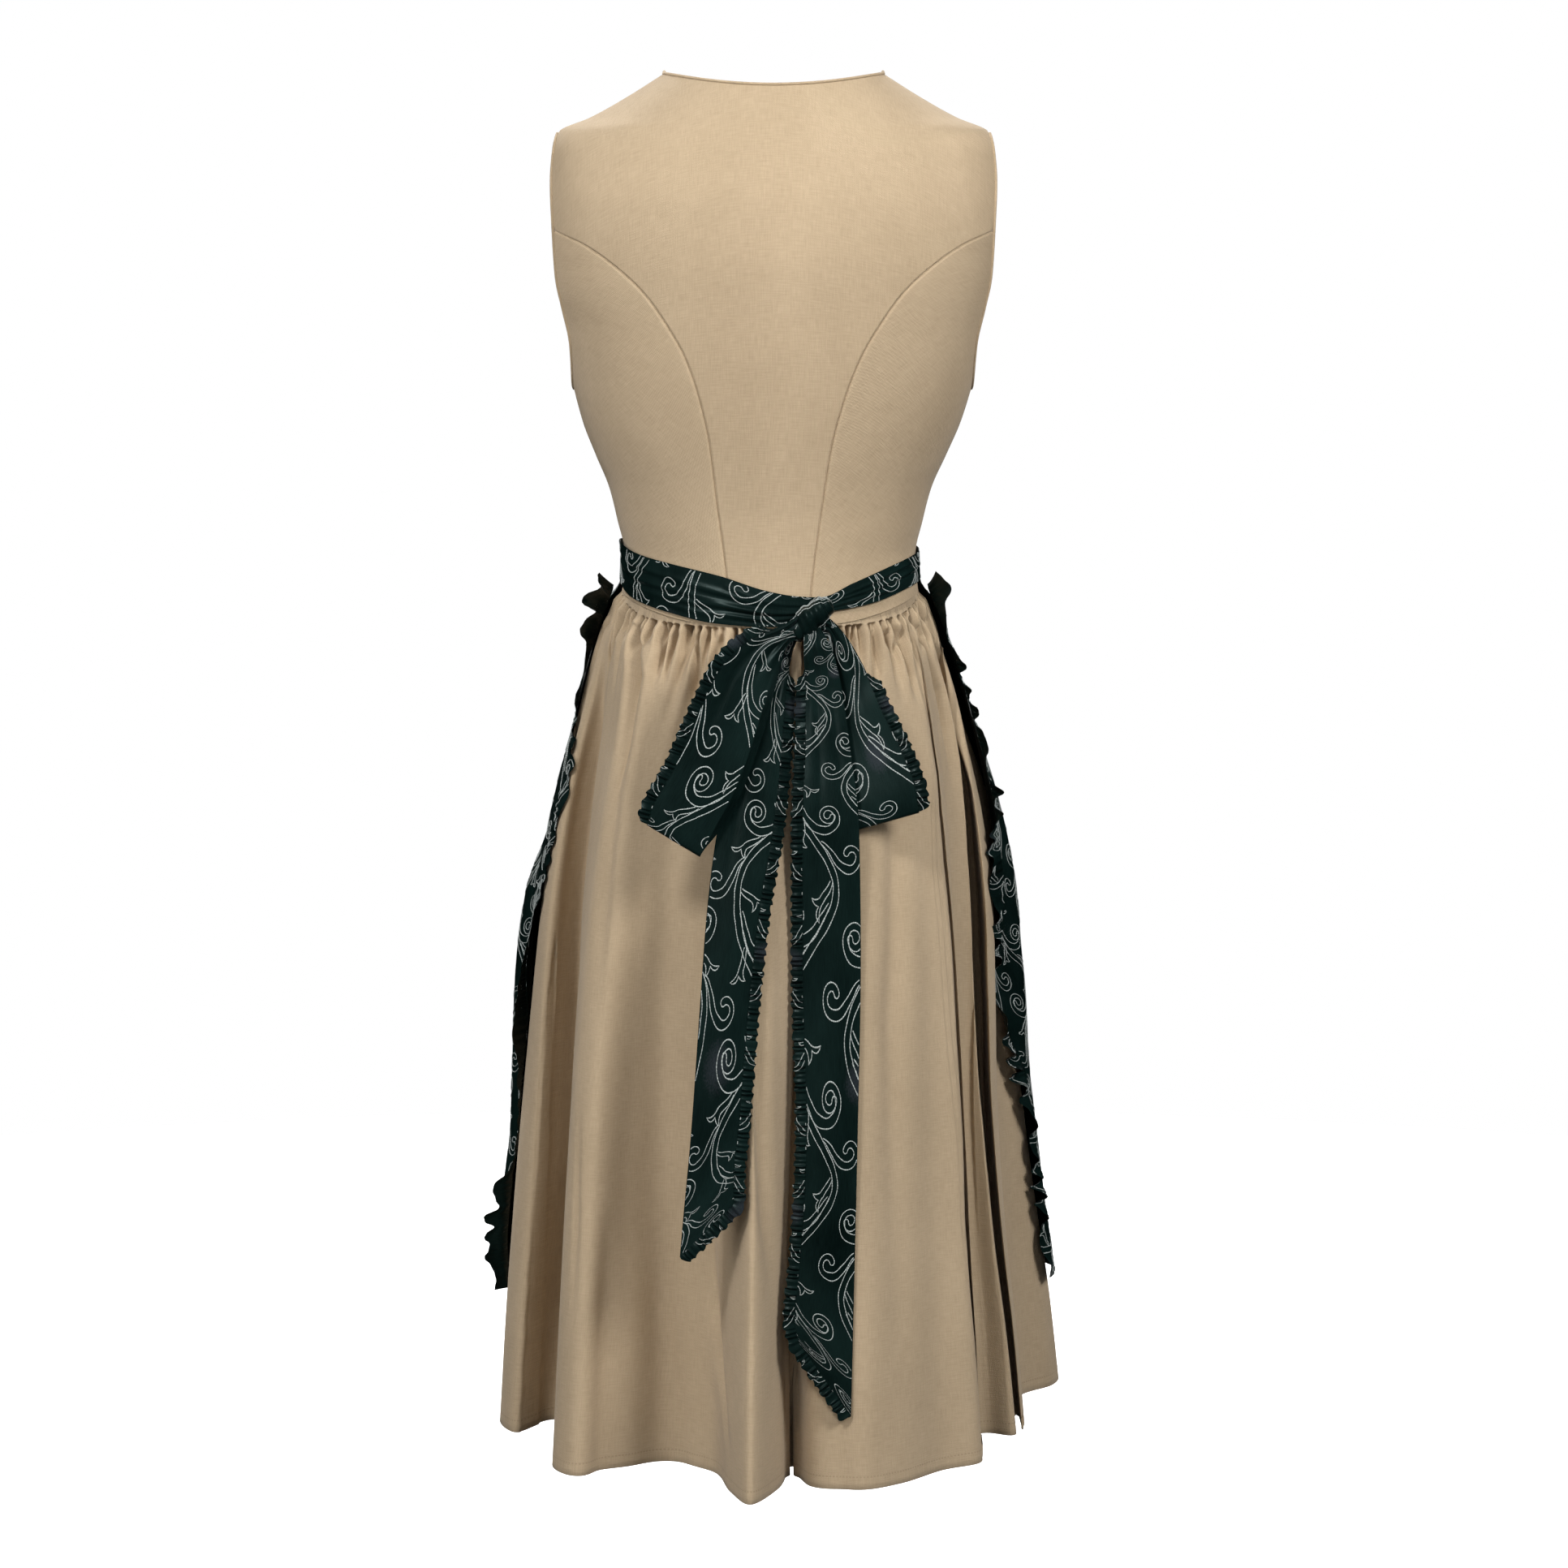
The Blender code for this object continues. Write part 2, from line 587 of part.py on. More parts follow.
def open_shoulder(rows):
    """Keeps a panel's shoulder edge clear of the other panel over the crest of the shoulder."""
    for row in rows[-SHOULDER_STEPS - 1:]:
        for side, inner in ((0, 1), (-1, -2)):
            if abs(row[side].x) > 0.5 * SIDE_NECK_X:
                row[side] = row[side] + (row[inner] - row[side]).normalized() * SEAM_INSET
    return rows


def side_panel_rows(seam, armhole, levels, front, columns):
    """A side panel, blended between princess seam, side seam, waist and armhole."""
    seam_x, arm_x = column(seam, "z", "x"), column(armhole, "z", "x")
    start_turn = turn_at(seam_x(levels[0]), levels[0], front)
    side_seam = Vector((90.0, UNDERARM_Z))

    def way_up(number):
        return (levels[number] - levels[0]) / (levels[-1] - levels[0])

    def seam_edge(number):
        return Vector((turn_at(seam_x(levels[number]), levels[number], front), levels[number]))

    def side_edge(number):
        return Vector((90.0, waist_seam(90) + (UNDERARM_Z - waist_seam(90)) * way_up(number)))

    def waist_edge(u):
        turn = start_turn + (90.0 - start_turn) * u
        return Vector((turn, levels[0] + (waist_seam(90) - levels[0]) * ease(u)))

    def arm_edge(u):
        z = levels[-1] + (UNDERARM_Z - levels[-1]) * u
        turn = turn_at(arm_x(z), z, front)
        return Vector((turn, z)).lerp(side_seam, u ** 6)

    rows = []
    for number in range(len(levels)):
        v = way_up(number)
        row = []
        for u in spread(0.0, 1.0, columns):
            ruled = waist_edge(u) * (1 - v) + arm_edge(u) * v
            ruled += seam_edge(number) * (1 - u) + side_edge(number) * u
            corners = (waist_edge(0) * (1 - u) + waist_edge(1) * u) * (1 - v)
            corners += (arm_edge(0) * (1 - u) + side_seam * u) * v
            turn, z = ruled - corners
            row.append(torso(turn, z))
        rows.append(row)
    return draw_in(rows, last_row=SEAM_INSET, first_column=SEAM_INSET, last_column=SEAM_INSET)


back_rows = back_centre_rows(12)
front_rows = front_centre_rows(7)
back_side_rows = side_panel_rows(BACK_PRINCESS, BACK_ARMHOLE, BACK_LEVELS, False, 5)
front_side_rows = side_panel_rows(FRONT_PRINCESS, FRONT_ARMHOLE, FRONT_LEVELS, True, 5)

sheet("back_centre", back_rows, BODICE_WALL, LINEN)
sheet("front_left", front_rows, BODICE_WALL, LINEN)
sheet("front_right", mirrored(front_rows), BODICE_WALL, LINEN, flip=True)
sheet("back_side_left", back_side_rows, BODICE_WALL, LINEN)
sheet("back_side_right", mirrored(back_side_rows), BODICE_WALL, LINEN, flip=True)
sheet("front_side_left", front_side_rows, BODICE_WALL, LINEN)
sheet("front_side_right", mirrored(front_side_rows), BODICE_WALL, LINEN, flip=True)

# The piping round an armhole: down the back edge, under the arm, and up the front edge.
back_arm = back_rows[len(BACK_LEVELS):len(back_rows) - SHOULDER_STEPS]
front_arm = front_rows[len(FRONT_LEVELS):len(front_rows) - SHOULDER_STEPS]
arm_edges = [row[-1] for row in reversed(back_arm)] + back_side_rows[-1][:-1]
arm_inners = [row[-2] for row in reversed(back_arm)] + back_side_rows[-2][:-1]
arm_edges += list(reversed(front_side_rows[-1])) + [row[-1] for row in front_arm]
arm_inners += list(reversed(front_side_rows[-2])) + [row[-2] for row in front_arm]
arm_line = beside_edge(arm_edges, arm_inners)
arm_line[0] = (arm_line[0] + arm_line.pop()) / 2        # both ends lie on the shoulder seam
piping("armhole_piping_left", arm_line, closed=True)
piping("armhole_piping_right", mirrored([arm_line])[0], closed=True)

# The piping round the neck runs from one front edge, over both shoulders, to the other.
front_line = beside_edge(front_rows[-1][:-1], front_rows[-2][:-1])
back_line = beside_edge(back_rows[-1][1:-1], back_rows[-2][1:-1])
neck_turn = Vector((SIDE_NECK_X - 0.0012, 0.0, 0.0020))
piping("neck_piping", [*front_line, neck_turn, *reversed(back_line),
                       *mirrored([[neck_turn, *reversed(front_line)]])[0]], closed=False)

# ---------------------------------------------------------------- skirt


def closed_curve(corners, samples):
    """A smooth closed curve through the corners, with its samples evenly spaced along it."""
    dense = []
    count = len(corners)
    for i in range(count):
        before, start, end, after = (corners[(i + k) % count] for k in (-1, 0, 1, 2))
        for step in range(24):
            t = step / 24
            dense.append(0.5 * (2 * start + (end - before) * t
                                + (2 * before - 5 * start + 4 * end - after) * t * t
                                + (3 * start - before - 3 * end + after) * t ** 3))
    dense.append(dense[0])
    reach = [0.0]
    for start, end in zip(dense, dense[1:]):
        reach.append(reach[-1] + (end - start).length)
    even, i = [], 0
    for k in range(samples):
        want = reach[-1] * k / samples
        while reach[i + 1] < want:
            i += 1
        t = (want - reach[i]) / (reach[i + 1] - reach[i])
        even.append(dense[i].lerp(dense[i + 1], t))
    return even, reach[-1]


def smoothed(loop, window):
    """The loop with its folds averaged out."""
    count = len(loop)
    total = Vector((0.0, 0.0))
    for k in range(-window, window + 1):
        total += loop[k % count]
    result = []
    for k in range(count):
        result.append(total / (2 * window + 1))
        total += loop[(k + window + 1) % count] - loop[(k - window) % count]
    return result


hem_loop, HEM_LENGTH = closed_curve([Vector((fold.x, fold.y)) for fold in HEM], FOLD_SAMPLES)
hem_base = smoothed(hem_loop, BASE_WINDOW)


def on_loop(loop, share):
    place = (share % 1.0) * len(loop)
    i = int(place)
    return loop[i % len(loop)].lerp(loop[(i + 1) % len(loop)], place - i)


def gather_depth(share, drop):
    """How far one gather stands out; the gathers differ in depth and in length."""
    number = math.floor(share * GATHERS)
    length = GATHER_FADE * (0.62 + 0.38 * math.sin(2.3 * number))
    strength = 0.78 + 0.22 * math.sin(4.1 * number + 1.0)
    grown = 0.35 + 0.65 * ease(drop / 0.03)
    return GATHER_DEPTH * strength * grown * (1 - ease(drop / length))


def skirt_plan(share, z, gathered=True):
    """Where the skirt runs at one height: share is the way round, 0 to 1 from centre back."""
    turn = 360.0 * share
    top = waist_seam(turn)
    drop = max(0.0, (top - z) / (top - HEM_Z))
    waist = torso(turn, max(z, top)).xy
    base = on_loop(hem_base, share)
    fold = on_loop(hem_loop, share) - base
    plan = waist.lerp(base, flare_by_drop(drop)) + fold * folds_by_drop(drop)
    toward_right = max(0.0, math.cos(math.radians(turn - RIGHT_IN_TURN))) ** 2
    plan -= plan.normalized() * right_in_by_drop(drop) * toward_right
    if gathered:
        phase = 2 * math.pi * GATHERS * share
        plan += plan.normalized() * gather_depth(share, drop) * math.sin(phase)
    return plan


def skirt_point(share, drop):
    top = waist_seam(360.0 * share) - SKIRT_DROP
    z = top + (HEM_Z - top) * drop
    plan = skirt_plan(share, z)
    return Vector((plan.x, plan.y, z))


def skirt_rows(first, last, fine, fine_drops, coarse_drops):
    rows = []
    for drops, columns in ((fine_drops, fine), (coarse_drops, fine // 2)):
        rows += [[skirt_point(share, drop) for share in spread(first, last, columns)] for drop in drops]
    return draw_in(rows, first_column=SIDE_SEAM_INSET, last_column=SIDE_SEAM_INSET)


back_fine = 2 * round((LEFT_SEAM - RIGHT_SEAM) * GATHERS * 2)
front_fine = 2 * round((1 + RIGHT_SEAM - LEFT_SEAM) * GATHERS * 1.3)
sheet("skirt_back", skirt_rows(RIGHT_SEAM, LEFT_SEAM, back_fine, (0.0, 0.030, 0.075, 0.140, 0.230),
                               (0.34, 0.48, 0.64, 0.82, 1.0)), SKIRT_WALL, LINEN)
sheet("skirt_front", skirt_rows(LEFT_SEAM, 1 + RIGHT_SEAM, front_fine, (0.0, 0.030, 0.075, 0.140),
                                (0.230, 0.34, 0.48, 0.64, 0.82, 1.0)), SKIRT_WALL, LINEN)

# ---------------------------------------------------------------- apron


def over_skirt(share, z, lift):
    """A point lifted off the skirt's folds, or off the bodice above the skirt."""
    step = 0.0015
    here = skirt_plan(share, z, gathered=False)
    along = skirt_plan(share + step, z, gathered=False) - skirt_plan(share - step, z, gathered=False)
    out = Vector((-along.y, along.x)).normalized()
    if out.dot(here) < 0:
        out = -out
    plan = here + out * lift
    return Vector((plan.x, plan.y, z))


def apron_lift(u, z, drop):
    """How far the apron stands off the skirt: least at the band, most in its puffed sides."""
    wave = 0.5 + 0.5 * math.sin(2 * math.pi * APRON_GATHERS * u)
    gather = APRON_GATHER_DEPTH * wave * (0.15 + 0.85 * ease(drop / APRON_RISE))
    gather *= 1 - ease(drop / APRON_GATHER_FADE)
    puff = puff_left(z) * (1 - ease(u / PUFF_SHARE)) + puff_right(z) * (1 - ease((1 - u) / PUFF_SHARE))
    return BAND_LIFT + (APRON_LIFT + puff - BAND_LIFT) * ease(drop / APRON_RISE) + gather


def apron_rows(fine, fine_drops, coarse_drops):
    rows = []
    for drops, columns in ((fine_drops, fine), (coarse_drops, fine // 2)):
        for drop in drops:
            row = []
            for u in spread(0.0, 1.0, columns):
                band_share = 0.26 + 0.48 * u
                top = band_bottom(signed_turn(360.0 * band_share)) - EDGE_GAP - SEAM_INSET
                z = top + (APRON_HEM_Z - top) * drop
                share = apron_left(z) + (1 + apron_right(z) - apron_left(z)) * u
                row.append(over_skirt(share, z, apron_lift(u, z, drop)))
            rows.append(row)
    return rows


apron_grid = apron_rows(4 * APRON_GATHERS, (0.0, 0.030, 0.080, 0.160), (0.27, 0.42, 0.60, 0.80, 1.0))
sheet("apron", apron_grid, SATIN_WALL, SATIN)


def on_line(line, z):
    """The point of a falling line of points at one height."""
    for above, below in zip(line, line[1:]):
        if z >= below.z:
            return above.lerp(below, (above.z - z) / (above.z - below.z))
    return line[-1]


def ruffle_rows(edges, inners, edge_share, puff, away):
    """A gathered strip sewn along one side edge of the apron; away is the way it points."""
    steps = 4 * RUFFLE_WAVES
    top = edges[0].z - RUFFLE_START
    rows = [[], [], []]
    for i in range(steps + 1):
        z = top + (APRON_HEM_Z - top) * i / steps
        drop = (z - UPPER_HIP_Z) / (HEM_Z - UPPER_HIP_Z)
        girth = HEM_LENGTH * (0.45 + 0.55 * flare_by_drop(drop))
        wave = math.sin(2 * math.pi * RUFFLE_WAVES * i / steps + 0.6 * math.sin(0.9 * i))
        fan = RUFFLE_FAN * (1 - ease((top - z) / RUFFLE_FAN_LENGTH))
        edge = on_line(edges, z)
        rows[0].append(edge + (edge - on_line(inners, z)).normalized() * 2 * SIDE_SEAM_INSET)
        for number, reach in ((1, 0.45), (2, 1.0)):
            share = edge_share(z) + away * RUFFLE_WIDTH * reach / girth
            lift = APRON_LIFT + puff(z) + (ruffle_stand(z) + ruffle_wave(z) * wave) * reach
            rows[number].append(over_skirt(share, z + fan * reach, lift))
    return rows


sheet("apron_ruffle_left", ruffle_rows([row[0] for row in apron_grid], [row[1] for row in apron_grid],
                                       apron_left, puff_left, -1.0), SATIN_WALL, SATIN, flip=True)
sheet("apron_ruffle_right", ruffle_rows([row[-1] for row in apron_grid], [row[-2] for row in apron_grid],
                                        apron_right, puff_right, 1.0), SATIN_WALL, SATIN)


def band_rows(first, last, columns):
    rows = []
    for part in (0.0, 0.5, 1.0):
        row = []
        for turn in spread(first, last, columns):
            top, bottom = band_top(signed_turn(turn)), band_bottom(signed_turn(turn))
            row.append(torso(turn, top + (bottom - top) * part, BAND_LIFT))
        rows.append(row)
    return rows


BAND_END_LEFT = 94.0
BAND_END_RIGHT = -94.0
sheet("apron_waistband", band_rows(BAND_END_LEFT + 0.15, 360 + BAND_END_RIGHT - 0.15, 24), BAND_WALL, SATIN)
sheet("tie_left", band_rows(TIE_MEETING_TURN + 0.25, BAND_END_LEFT - 0.15, 16), BAND_WALL, SATIN)
sheet("tie_right", band_rows(BAND_END_RIGHT + 0.15, TIE_MEETING_TURN - 0.25, 12), BAND_WALL, SATIN)

# ---------------------------------------------------------------- bow


def rest_depth(low_x, high_x, z):
    """How far back the skirt reaches between two sides, at one height."""
    reach = [skirt_plan(share, z) for share in spread(-0.20, 0.20, 240)]
    return max(point.y for point in reach if low_x - 0.011 <= point.x <= high_x + 0.011)


def finer(stations, count):
    """The stations with smooth ones between, evenly along the piece."""
    fields = Station._fields
    at = namedtuple("At", ("way",) + fields)
    table = [at(i / (len(stations) - 1), *row) for i, row in enumerate(stations)]
    curves = [column(table, "way", field) for field in fields]
    return [Station(*(curve(way) for curve in curves)) for way in spread(0.0, 1.0, count)]


def hanging_depths(stations, start, under=None):
    """The depth of each station: it rests on what is under it, and never swings back in."""
    depths = []
    for row in stations:
        z = 0.5 * (row.left_z + row.right_z)
        low, high = sorted((row.left_x, row.right_x))
        depth = rest_depth(low, high, z) + TIE_CLEARANCE
        if under:
            depth = max(depth, under(min(row.left_z, row.right_z)) + LAYER)
        depths.append(max(depth, depths[-1] if depths else start))
    return depths


def depth_down(stations, depths):
    """The depth of a hanging piece at any height."""
    line = [Vector((0, depth, 0.5 * (row.left_z + row.right_z))) for row, depth in zip(stations, depths)]
    return lambda z: on_line(line, min(z, line[0].z)).y


def strip_rows(stations, depths, columns, crown=0.0015):
    rows = []
    for row, depth in zip(stations, depths):
        left = Vector((row.left_x, depth, row.left_z))
        right = Vector((row.right_x, depth, row.right_z))
        line = []
        for u in spread(0.0, 1.0, columns):
            point = left.lerp(right, u)
            point.y += crown * math.sin(math.pi * u)
            line.append(point)
        rows.append(line)
    return rows


def loop_rows(stations, depths, columns, shift):
    """A band that runs down its outer layer, folds, and runs back up behind it."""
    outer, inner = [], []
    last = len(stations) - 1
    for number, (row, depth) in enumerate(zip(stations, depths)):
        way = number / last
        fullness = LOOP_PINCH + (1 - LOOP_PINCH) * math.sin(0.5 * math.pi * min(1.0, 0.25 + way))
        gap = LOOP_OPEN * fullness * math.sqrt(1 - way ** 4)
        outer_y = depth + 0.5 * (LOOP_OPEN + gap)
        front = Vector((row.left_x, outer_y, row.left_z))
        far = Vector((row.right_x, outer_y, row.right_z))
        outer.append([front.lerp(far, u) for u in spread(0.0, 1.0, columns)])
        slip = Vector((shift * ease(way * 2) * (1 - ease((way - 0.8) / 0.2)), -gap, 0.0))
        inner.append([point + slip for point in outer[-1]])
    return outer + list(reversed(inner[:-1]))


def frill_rows(edge, inner, waves, samples):
    """A ruched edge: two lines of points beyond a cut edge, the outer one waving."""
    away = []
    for i, (here, beside) in enumerate(zip(edge, inner)):
        along = (edge[min(i + 1, len(edge) - 1)] - edge[max(i - 1, 0)]).normalized()
        out = here - beside
        away.append((out - along * out.dot(along)).normalized())
    step = sum((b - a).length for a, b in zip(edge, edge[1:])) / (waves * samples)
    root, free, count = [], [], 0
    for i in range(len(edge) - 1):
        parts = max(1, round((edge[i + 1] - edge[i]).length / step))
        for part in range(parts + (i == len(edge) - 2)):
            here = edge[i].lerp(edge[i + 1], part / parts)
            out = away[i].lerp(away[i + 1], part / parts)
            wave = math.sin(2 * math.pi * (count / samples + 0.125))
            root.append(here + out * FRILL_GAP)
            free.append(here + out * FRILL_WIDTH + Vector((0, FRILL_WAVE * wave + 0.001, 0)))
            count += 1
    return [root, free]


left_tail, right_tail = finer(TAIL_LEFT, 16), finer(TAIL_RIGHT, 17)
left_loop, right_loop = finer(LOOP_LEFT, 9), finer(LOOP_RIGHT, 9)
left_tail_depths = hanging_depths(left_tail, LEFT_TAIL_START)
right_loop_depths = hanging_depths(right_loop, RIGHT_LOOP_START)
under_left_loop = depth_down(left_tail, left_tail_depths)
under_right_tail = depth_down(right_loop, right_loop_depths)


def right_loop_front(z):
    """The right tail crosses the loop near the knot, then settles on the skirt below it."""
    settle = ease((right_loop[-1].left_z - 0.010 - z) / 0.070)
    return under_right_tail(z) + LOOP_OPEN * 1.2 * (1 - settle)


right_tail_depths = hanging_depths(right_tail, RIGHT_TAIL_START, right_loop_front)
left_loop_depths = hanging_depths(left_loop, LEFT_LOOP_START, under_left_loop)
tail_left_rows = strip_rows(left_tail, left_tail_depths, 3)
tail_right_rows = strip_rows(right_tail, right_tail_depths, 3)
loop_left_rows = loop_rows(left_loop, left_loop_depths, 4, LEFT_LOOP_SLIP)
loop_right_rows = loop_rows(right_loop, right_loop_depths, 4, RIGHT_LOOP_SLIP)
sheet("tail_left", tail_left_rows, SATIN_WALL, SATIN)
sheet("tail_right", tail_right_rows, SATIN_WALL, SATIN)
sheet("bow_loop_left", loop_left_rows, SATIN_WALL, SATIN)
sheet("bow_loop_right", loop_right_rows, SATIN_WALL, SATIN)

# Each tail's ruched edge runs down one side and on along its slanted end.
FRILL_START = 3               # stations below the knot
side = [row[-1] for row in tail_left_rows[FRILL_START:]]
side_inner = [row[-2] for row in tail_left_rows[FRILL_START:]]
end = list(reversed(tail_left_rows[-1][:-1]))
end_inner = list(reversed(tail_left_rows[-2][:-1]))
sheet("tail_left_frill", frill_rows(side + end, side_inner + end_inner, TAIL_FRILL_WAVES, 3),
      SATIN_WALL, SATIN, flip=True)
side = [row[0] for row in tail_right_rows[FRILL_START:]]
side_inner = [row[1] for row in tail_right_rows[FRILL_START:]]
sheet("tail_right_frill", frill_rows(side + tail_right_rows[-1][1:], side_inner + tail_right_rows[-2][1:],
                                     TAIL_FRILL_WAVES, 3), SATIN_WALL, SATIN)
loop_face = loop_left_rows[1:len(left_loop) - 1]
sheet("loop_left_frill", frill_rows([row[0] for row in loop_face], [row[1] for row in loop_face],
                                    LOOP_FRILL_WAVES, 3), SATIN_WALL, SATIN)
loop_face = loop_right_rows[FRILL_START:len(right_loop) - 1]
sheet("loop_right_frill", frill_rows([row[-1] for row in loop_face], [row[-2] for row in loop_face],
                                     LOOP_FRILL_WAVES, 3), SATIN_WALL, SATIN, flip=True)


def make_knot():
    """The wrapped knot: a ball of satin with soft grooves where the turns of the tie cross."""
    bpy.ops.mesh.primitive_uv_sphere_add(segments=16, ring_count=10, radius=1.0)
    knot = bpy.context.object
    knot.name = "knot"
    for vertex in knot.data.vertices:
        direction = vertex.co.normalized()
        groove = math.sin(5.0 * direction.z + 3.0 * direction.x + 0.6)
        size = 1.0 - 0.07 * max(0.0, groove)
        vertex.co = Vector(direction[i] * KNOT_HALF[i] * size for i in range(3))
    knot.location = KNOT_CENTRE
    knot.data.materials.append(SATIN)
    knot.data.shade_smooth()
    for collection in list(knot.users_collection):
        collection.objects.unlink(knot)
    dress_parts.objects.link(knot)


make_knot()
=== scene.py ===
import math

import bpy
import numpy as np
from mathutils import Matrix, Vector


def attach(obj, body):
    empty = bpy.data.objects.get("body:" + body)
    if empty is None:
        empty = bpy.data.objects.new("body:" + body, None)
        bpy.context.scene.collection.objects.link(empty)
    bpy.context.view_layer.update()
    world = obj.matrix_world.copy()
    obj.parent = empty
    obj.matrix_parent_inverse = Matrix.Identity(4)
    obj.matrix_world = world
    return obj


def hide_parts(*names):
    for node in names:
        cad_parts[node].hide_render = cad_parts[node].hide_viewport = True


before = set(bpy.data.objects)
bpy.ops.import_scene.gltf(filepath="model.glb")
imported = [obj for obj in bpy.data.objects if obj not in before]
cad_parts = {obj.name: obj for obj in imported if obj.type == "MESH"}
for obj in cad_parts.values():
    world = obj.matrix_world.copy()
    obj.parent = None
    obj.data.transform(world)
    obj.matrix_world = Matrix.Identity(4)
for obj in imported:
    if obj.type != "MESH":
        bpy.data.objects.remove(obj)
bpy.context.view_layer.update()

# ---------------------------------------------------------------- bodice
# A dirndl bodice in fine beige linen twill: a wide back panel between two curved princess
# seams, side-back panels on the cross grain, and four front panels.  It is sewn with plain
# seams pressed flat, and kept in the round by its lining.


def table(names, rows, unit=1.0):
    """Rows of numbers with named columns."""
    return dict(zip(names.split(), unit * np.array(rows, float).T))


def thousandths(names, rows):
    """A table in millimetres, and in thousandths of a share."""
    return table(names, rows, 0.001)


def smooth_curve(at, value):
    """A smooth curve through a table's points, which never overshoots them."""
    steps = np.diff(value) / np.diff(at)
    before, after = steps[:-1], steps[1:]
    level = before * after <= 0
    middle = np.where(level, 0.0, 2 * before * after / np.where(level, 1.0, before + after))
    slopes = np.concatenate([steps[:1], middle, steps[-1:]])

    def curve(x):
        x = np.clip(x, at[0], at[-1])
        i = np.clip(np.searchsorted(at, x, side="right") - 1, 0, len(at) - 2)
        width = at[i + 1] - at[i]
        t = (x - at[i]) / width
        ends = (1 + 2 * t) * (1 - t) ** 2 * value[i] + t * t * (3 - 2 * t) * value[i + 1]
        return ends + width * (t * (1 - t) ** 2 * slopes[i] - t * t * (1 - t) * slopes[i + 1])

    return curve


def curves(rows):
    """A smooth curve for each column of a table, by its first column."""
    key, *names = rows
    return [smooth_curve(rows[key], rows[name]) for name in names]


def ease(t):
    """Runs softly from 0 to 1 as t does, and stays there."""
    t = np.clip(t, 0.0, 1.0)
    return t * t * (3 - 2 * t)


TORSO = table("z half_width back_depth front_depth roundness", [
    (-0.4250, 0.1195, 0.0925, 0.1010, 2.00),
    (-0.3700, 0.1130, 0.0885, 0.0960, 2.00),
    (-0.3420, 0.1188, 0.0890, 0.0985, 2.02),
    (-0.3170, 0.1252, 0.0915, 0.1030, 2.05),
    (-0.2920, 0.1359, 0.0950, 0.1090, 2.08),
    (-0.2670, 0.1462, 0.0985, 0.1165, 2.12),
    (-0.2415, 0.1536, 0.1015, 0.1215, 2.18),
    (-0.2040, 0.1625, 0.1050, 0.1225, 2.24),
    (-0.1540, 0.1740, 0.1065, 0.1080, 2.30),
    (-0.1040, 0.1775, 0.1010, 0.0900, 2.32),
    (-0.0600, 0.1735, 0.0860, 0.0740, 2.28),
    (-0.0430, 0.1650, 0.0770, 0.0670, 2.24),
    (-0.0330, 0.1415, 0.0715, 0.0620, 2.20),
    (-0.0173, 0.1130, 0.0620, 0.0550, 2.16),
    (0.0000, 0.0853, 0.0520, 0.0460, 2.12)])
half_width, back_depth, front_depth, roundness = curves(TORSO)
waist_line, = curves(table("turn z", [
    (0, -0.4185), (30, -0.4170), (55, -0.4125), (72, -0.4050), (90, -0.3975), (180, -0.4000)]))


def waist_seam(turn):
    """The height of the waist seam, lowest at centre back and the same on both sides."""
    return waist_line(np.abs((turn + 180.0) % 360.0 - 180.0))


def torso(turn, z, out=0.0):
    """Points of the body form: turn is 0 at centre back, 90 at the wearer's left side."""
    turn, z, out = np.broadcast_arrays(np.asarray(turn, float), z, out)
    angle = np.radians(turn)
    across, back = np.sin(angle), np.cos(angle)
    n = roundness(z)
    a, b = half_width(z), np.where(back > 0, back_depth(z), front_depth(z))
    x = np.sign(across) * a * np.abs(across) ** (2 / n)
    y = np.sign(back) * b * np.abs(back) ** (2 / n)
    nx, ny = np.sign(x) * np.abs(x / a) ** (n - 1) / a, np.sign(y) * np.abs(y / b) ** (n - 1) / b
    size = np.maximum(np.hypot(nx, ny), 1e-9)
    return np.stack([x + out * nx / size, y + out * ny / size, z], -1)


def turn_at(x, z, front):
    """The turn at which the body form is x wide of the middle."""
    turn = np.degrees(np.arcsin(np.minimum(np.abs(x) / half_width(z), 1.0) ** (roundness(z) / 2)))
    return np.where(np.asarray(x) < 0, -1, 1) * (180 - turn if front else turn)


def reach(points, axis):
    """The distance run along the rows or the columns of a net of points."""
    step = np.linalg.norm(np.diff(points, axis=axis), axis=-1)
    return np.concatenate([np.zeros_like(np.take(step, [0], axis)), np.cumsum(step, axis=axis)], axis)


def unit(ways):
    return ways / np.maximum(np.linalg.norm(ways, axis=-1, keepdims=True), 1e-12)


def normals(points):
    """The side of a net of points that faces off the body; a loop's first half decides it."""
    down, along = np.gradient(points, axis=0), np.gradient(points, axis=1)
    side = np.cross(down, along)
    half = (len(points) + 1) // 2
    way = 1.0 if (side[:half, :, :2] * points[:half, :, :2]).sum() > 0 else -1.0
    return way * unit(side)


LEAN, LEAN_FROM_Z, LEAN_HEIGHT = 0.0028, -0.345, 0.165


def leaned(points):
    """The shoulders hang 3 mm to the wearer's right of the waist."""
    points = np.array(points, float)
    points[..., 0] -= LEAN * ease((points[..., 2] - LEAN_FROM_Z) / LEAN_HEIGHT)
    return points


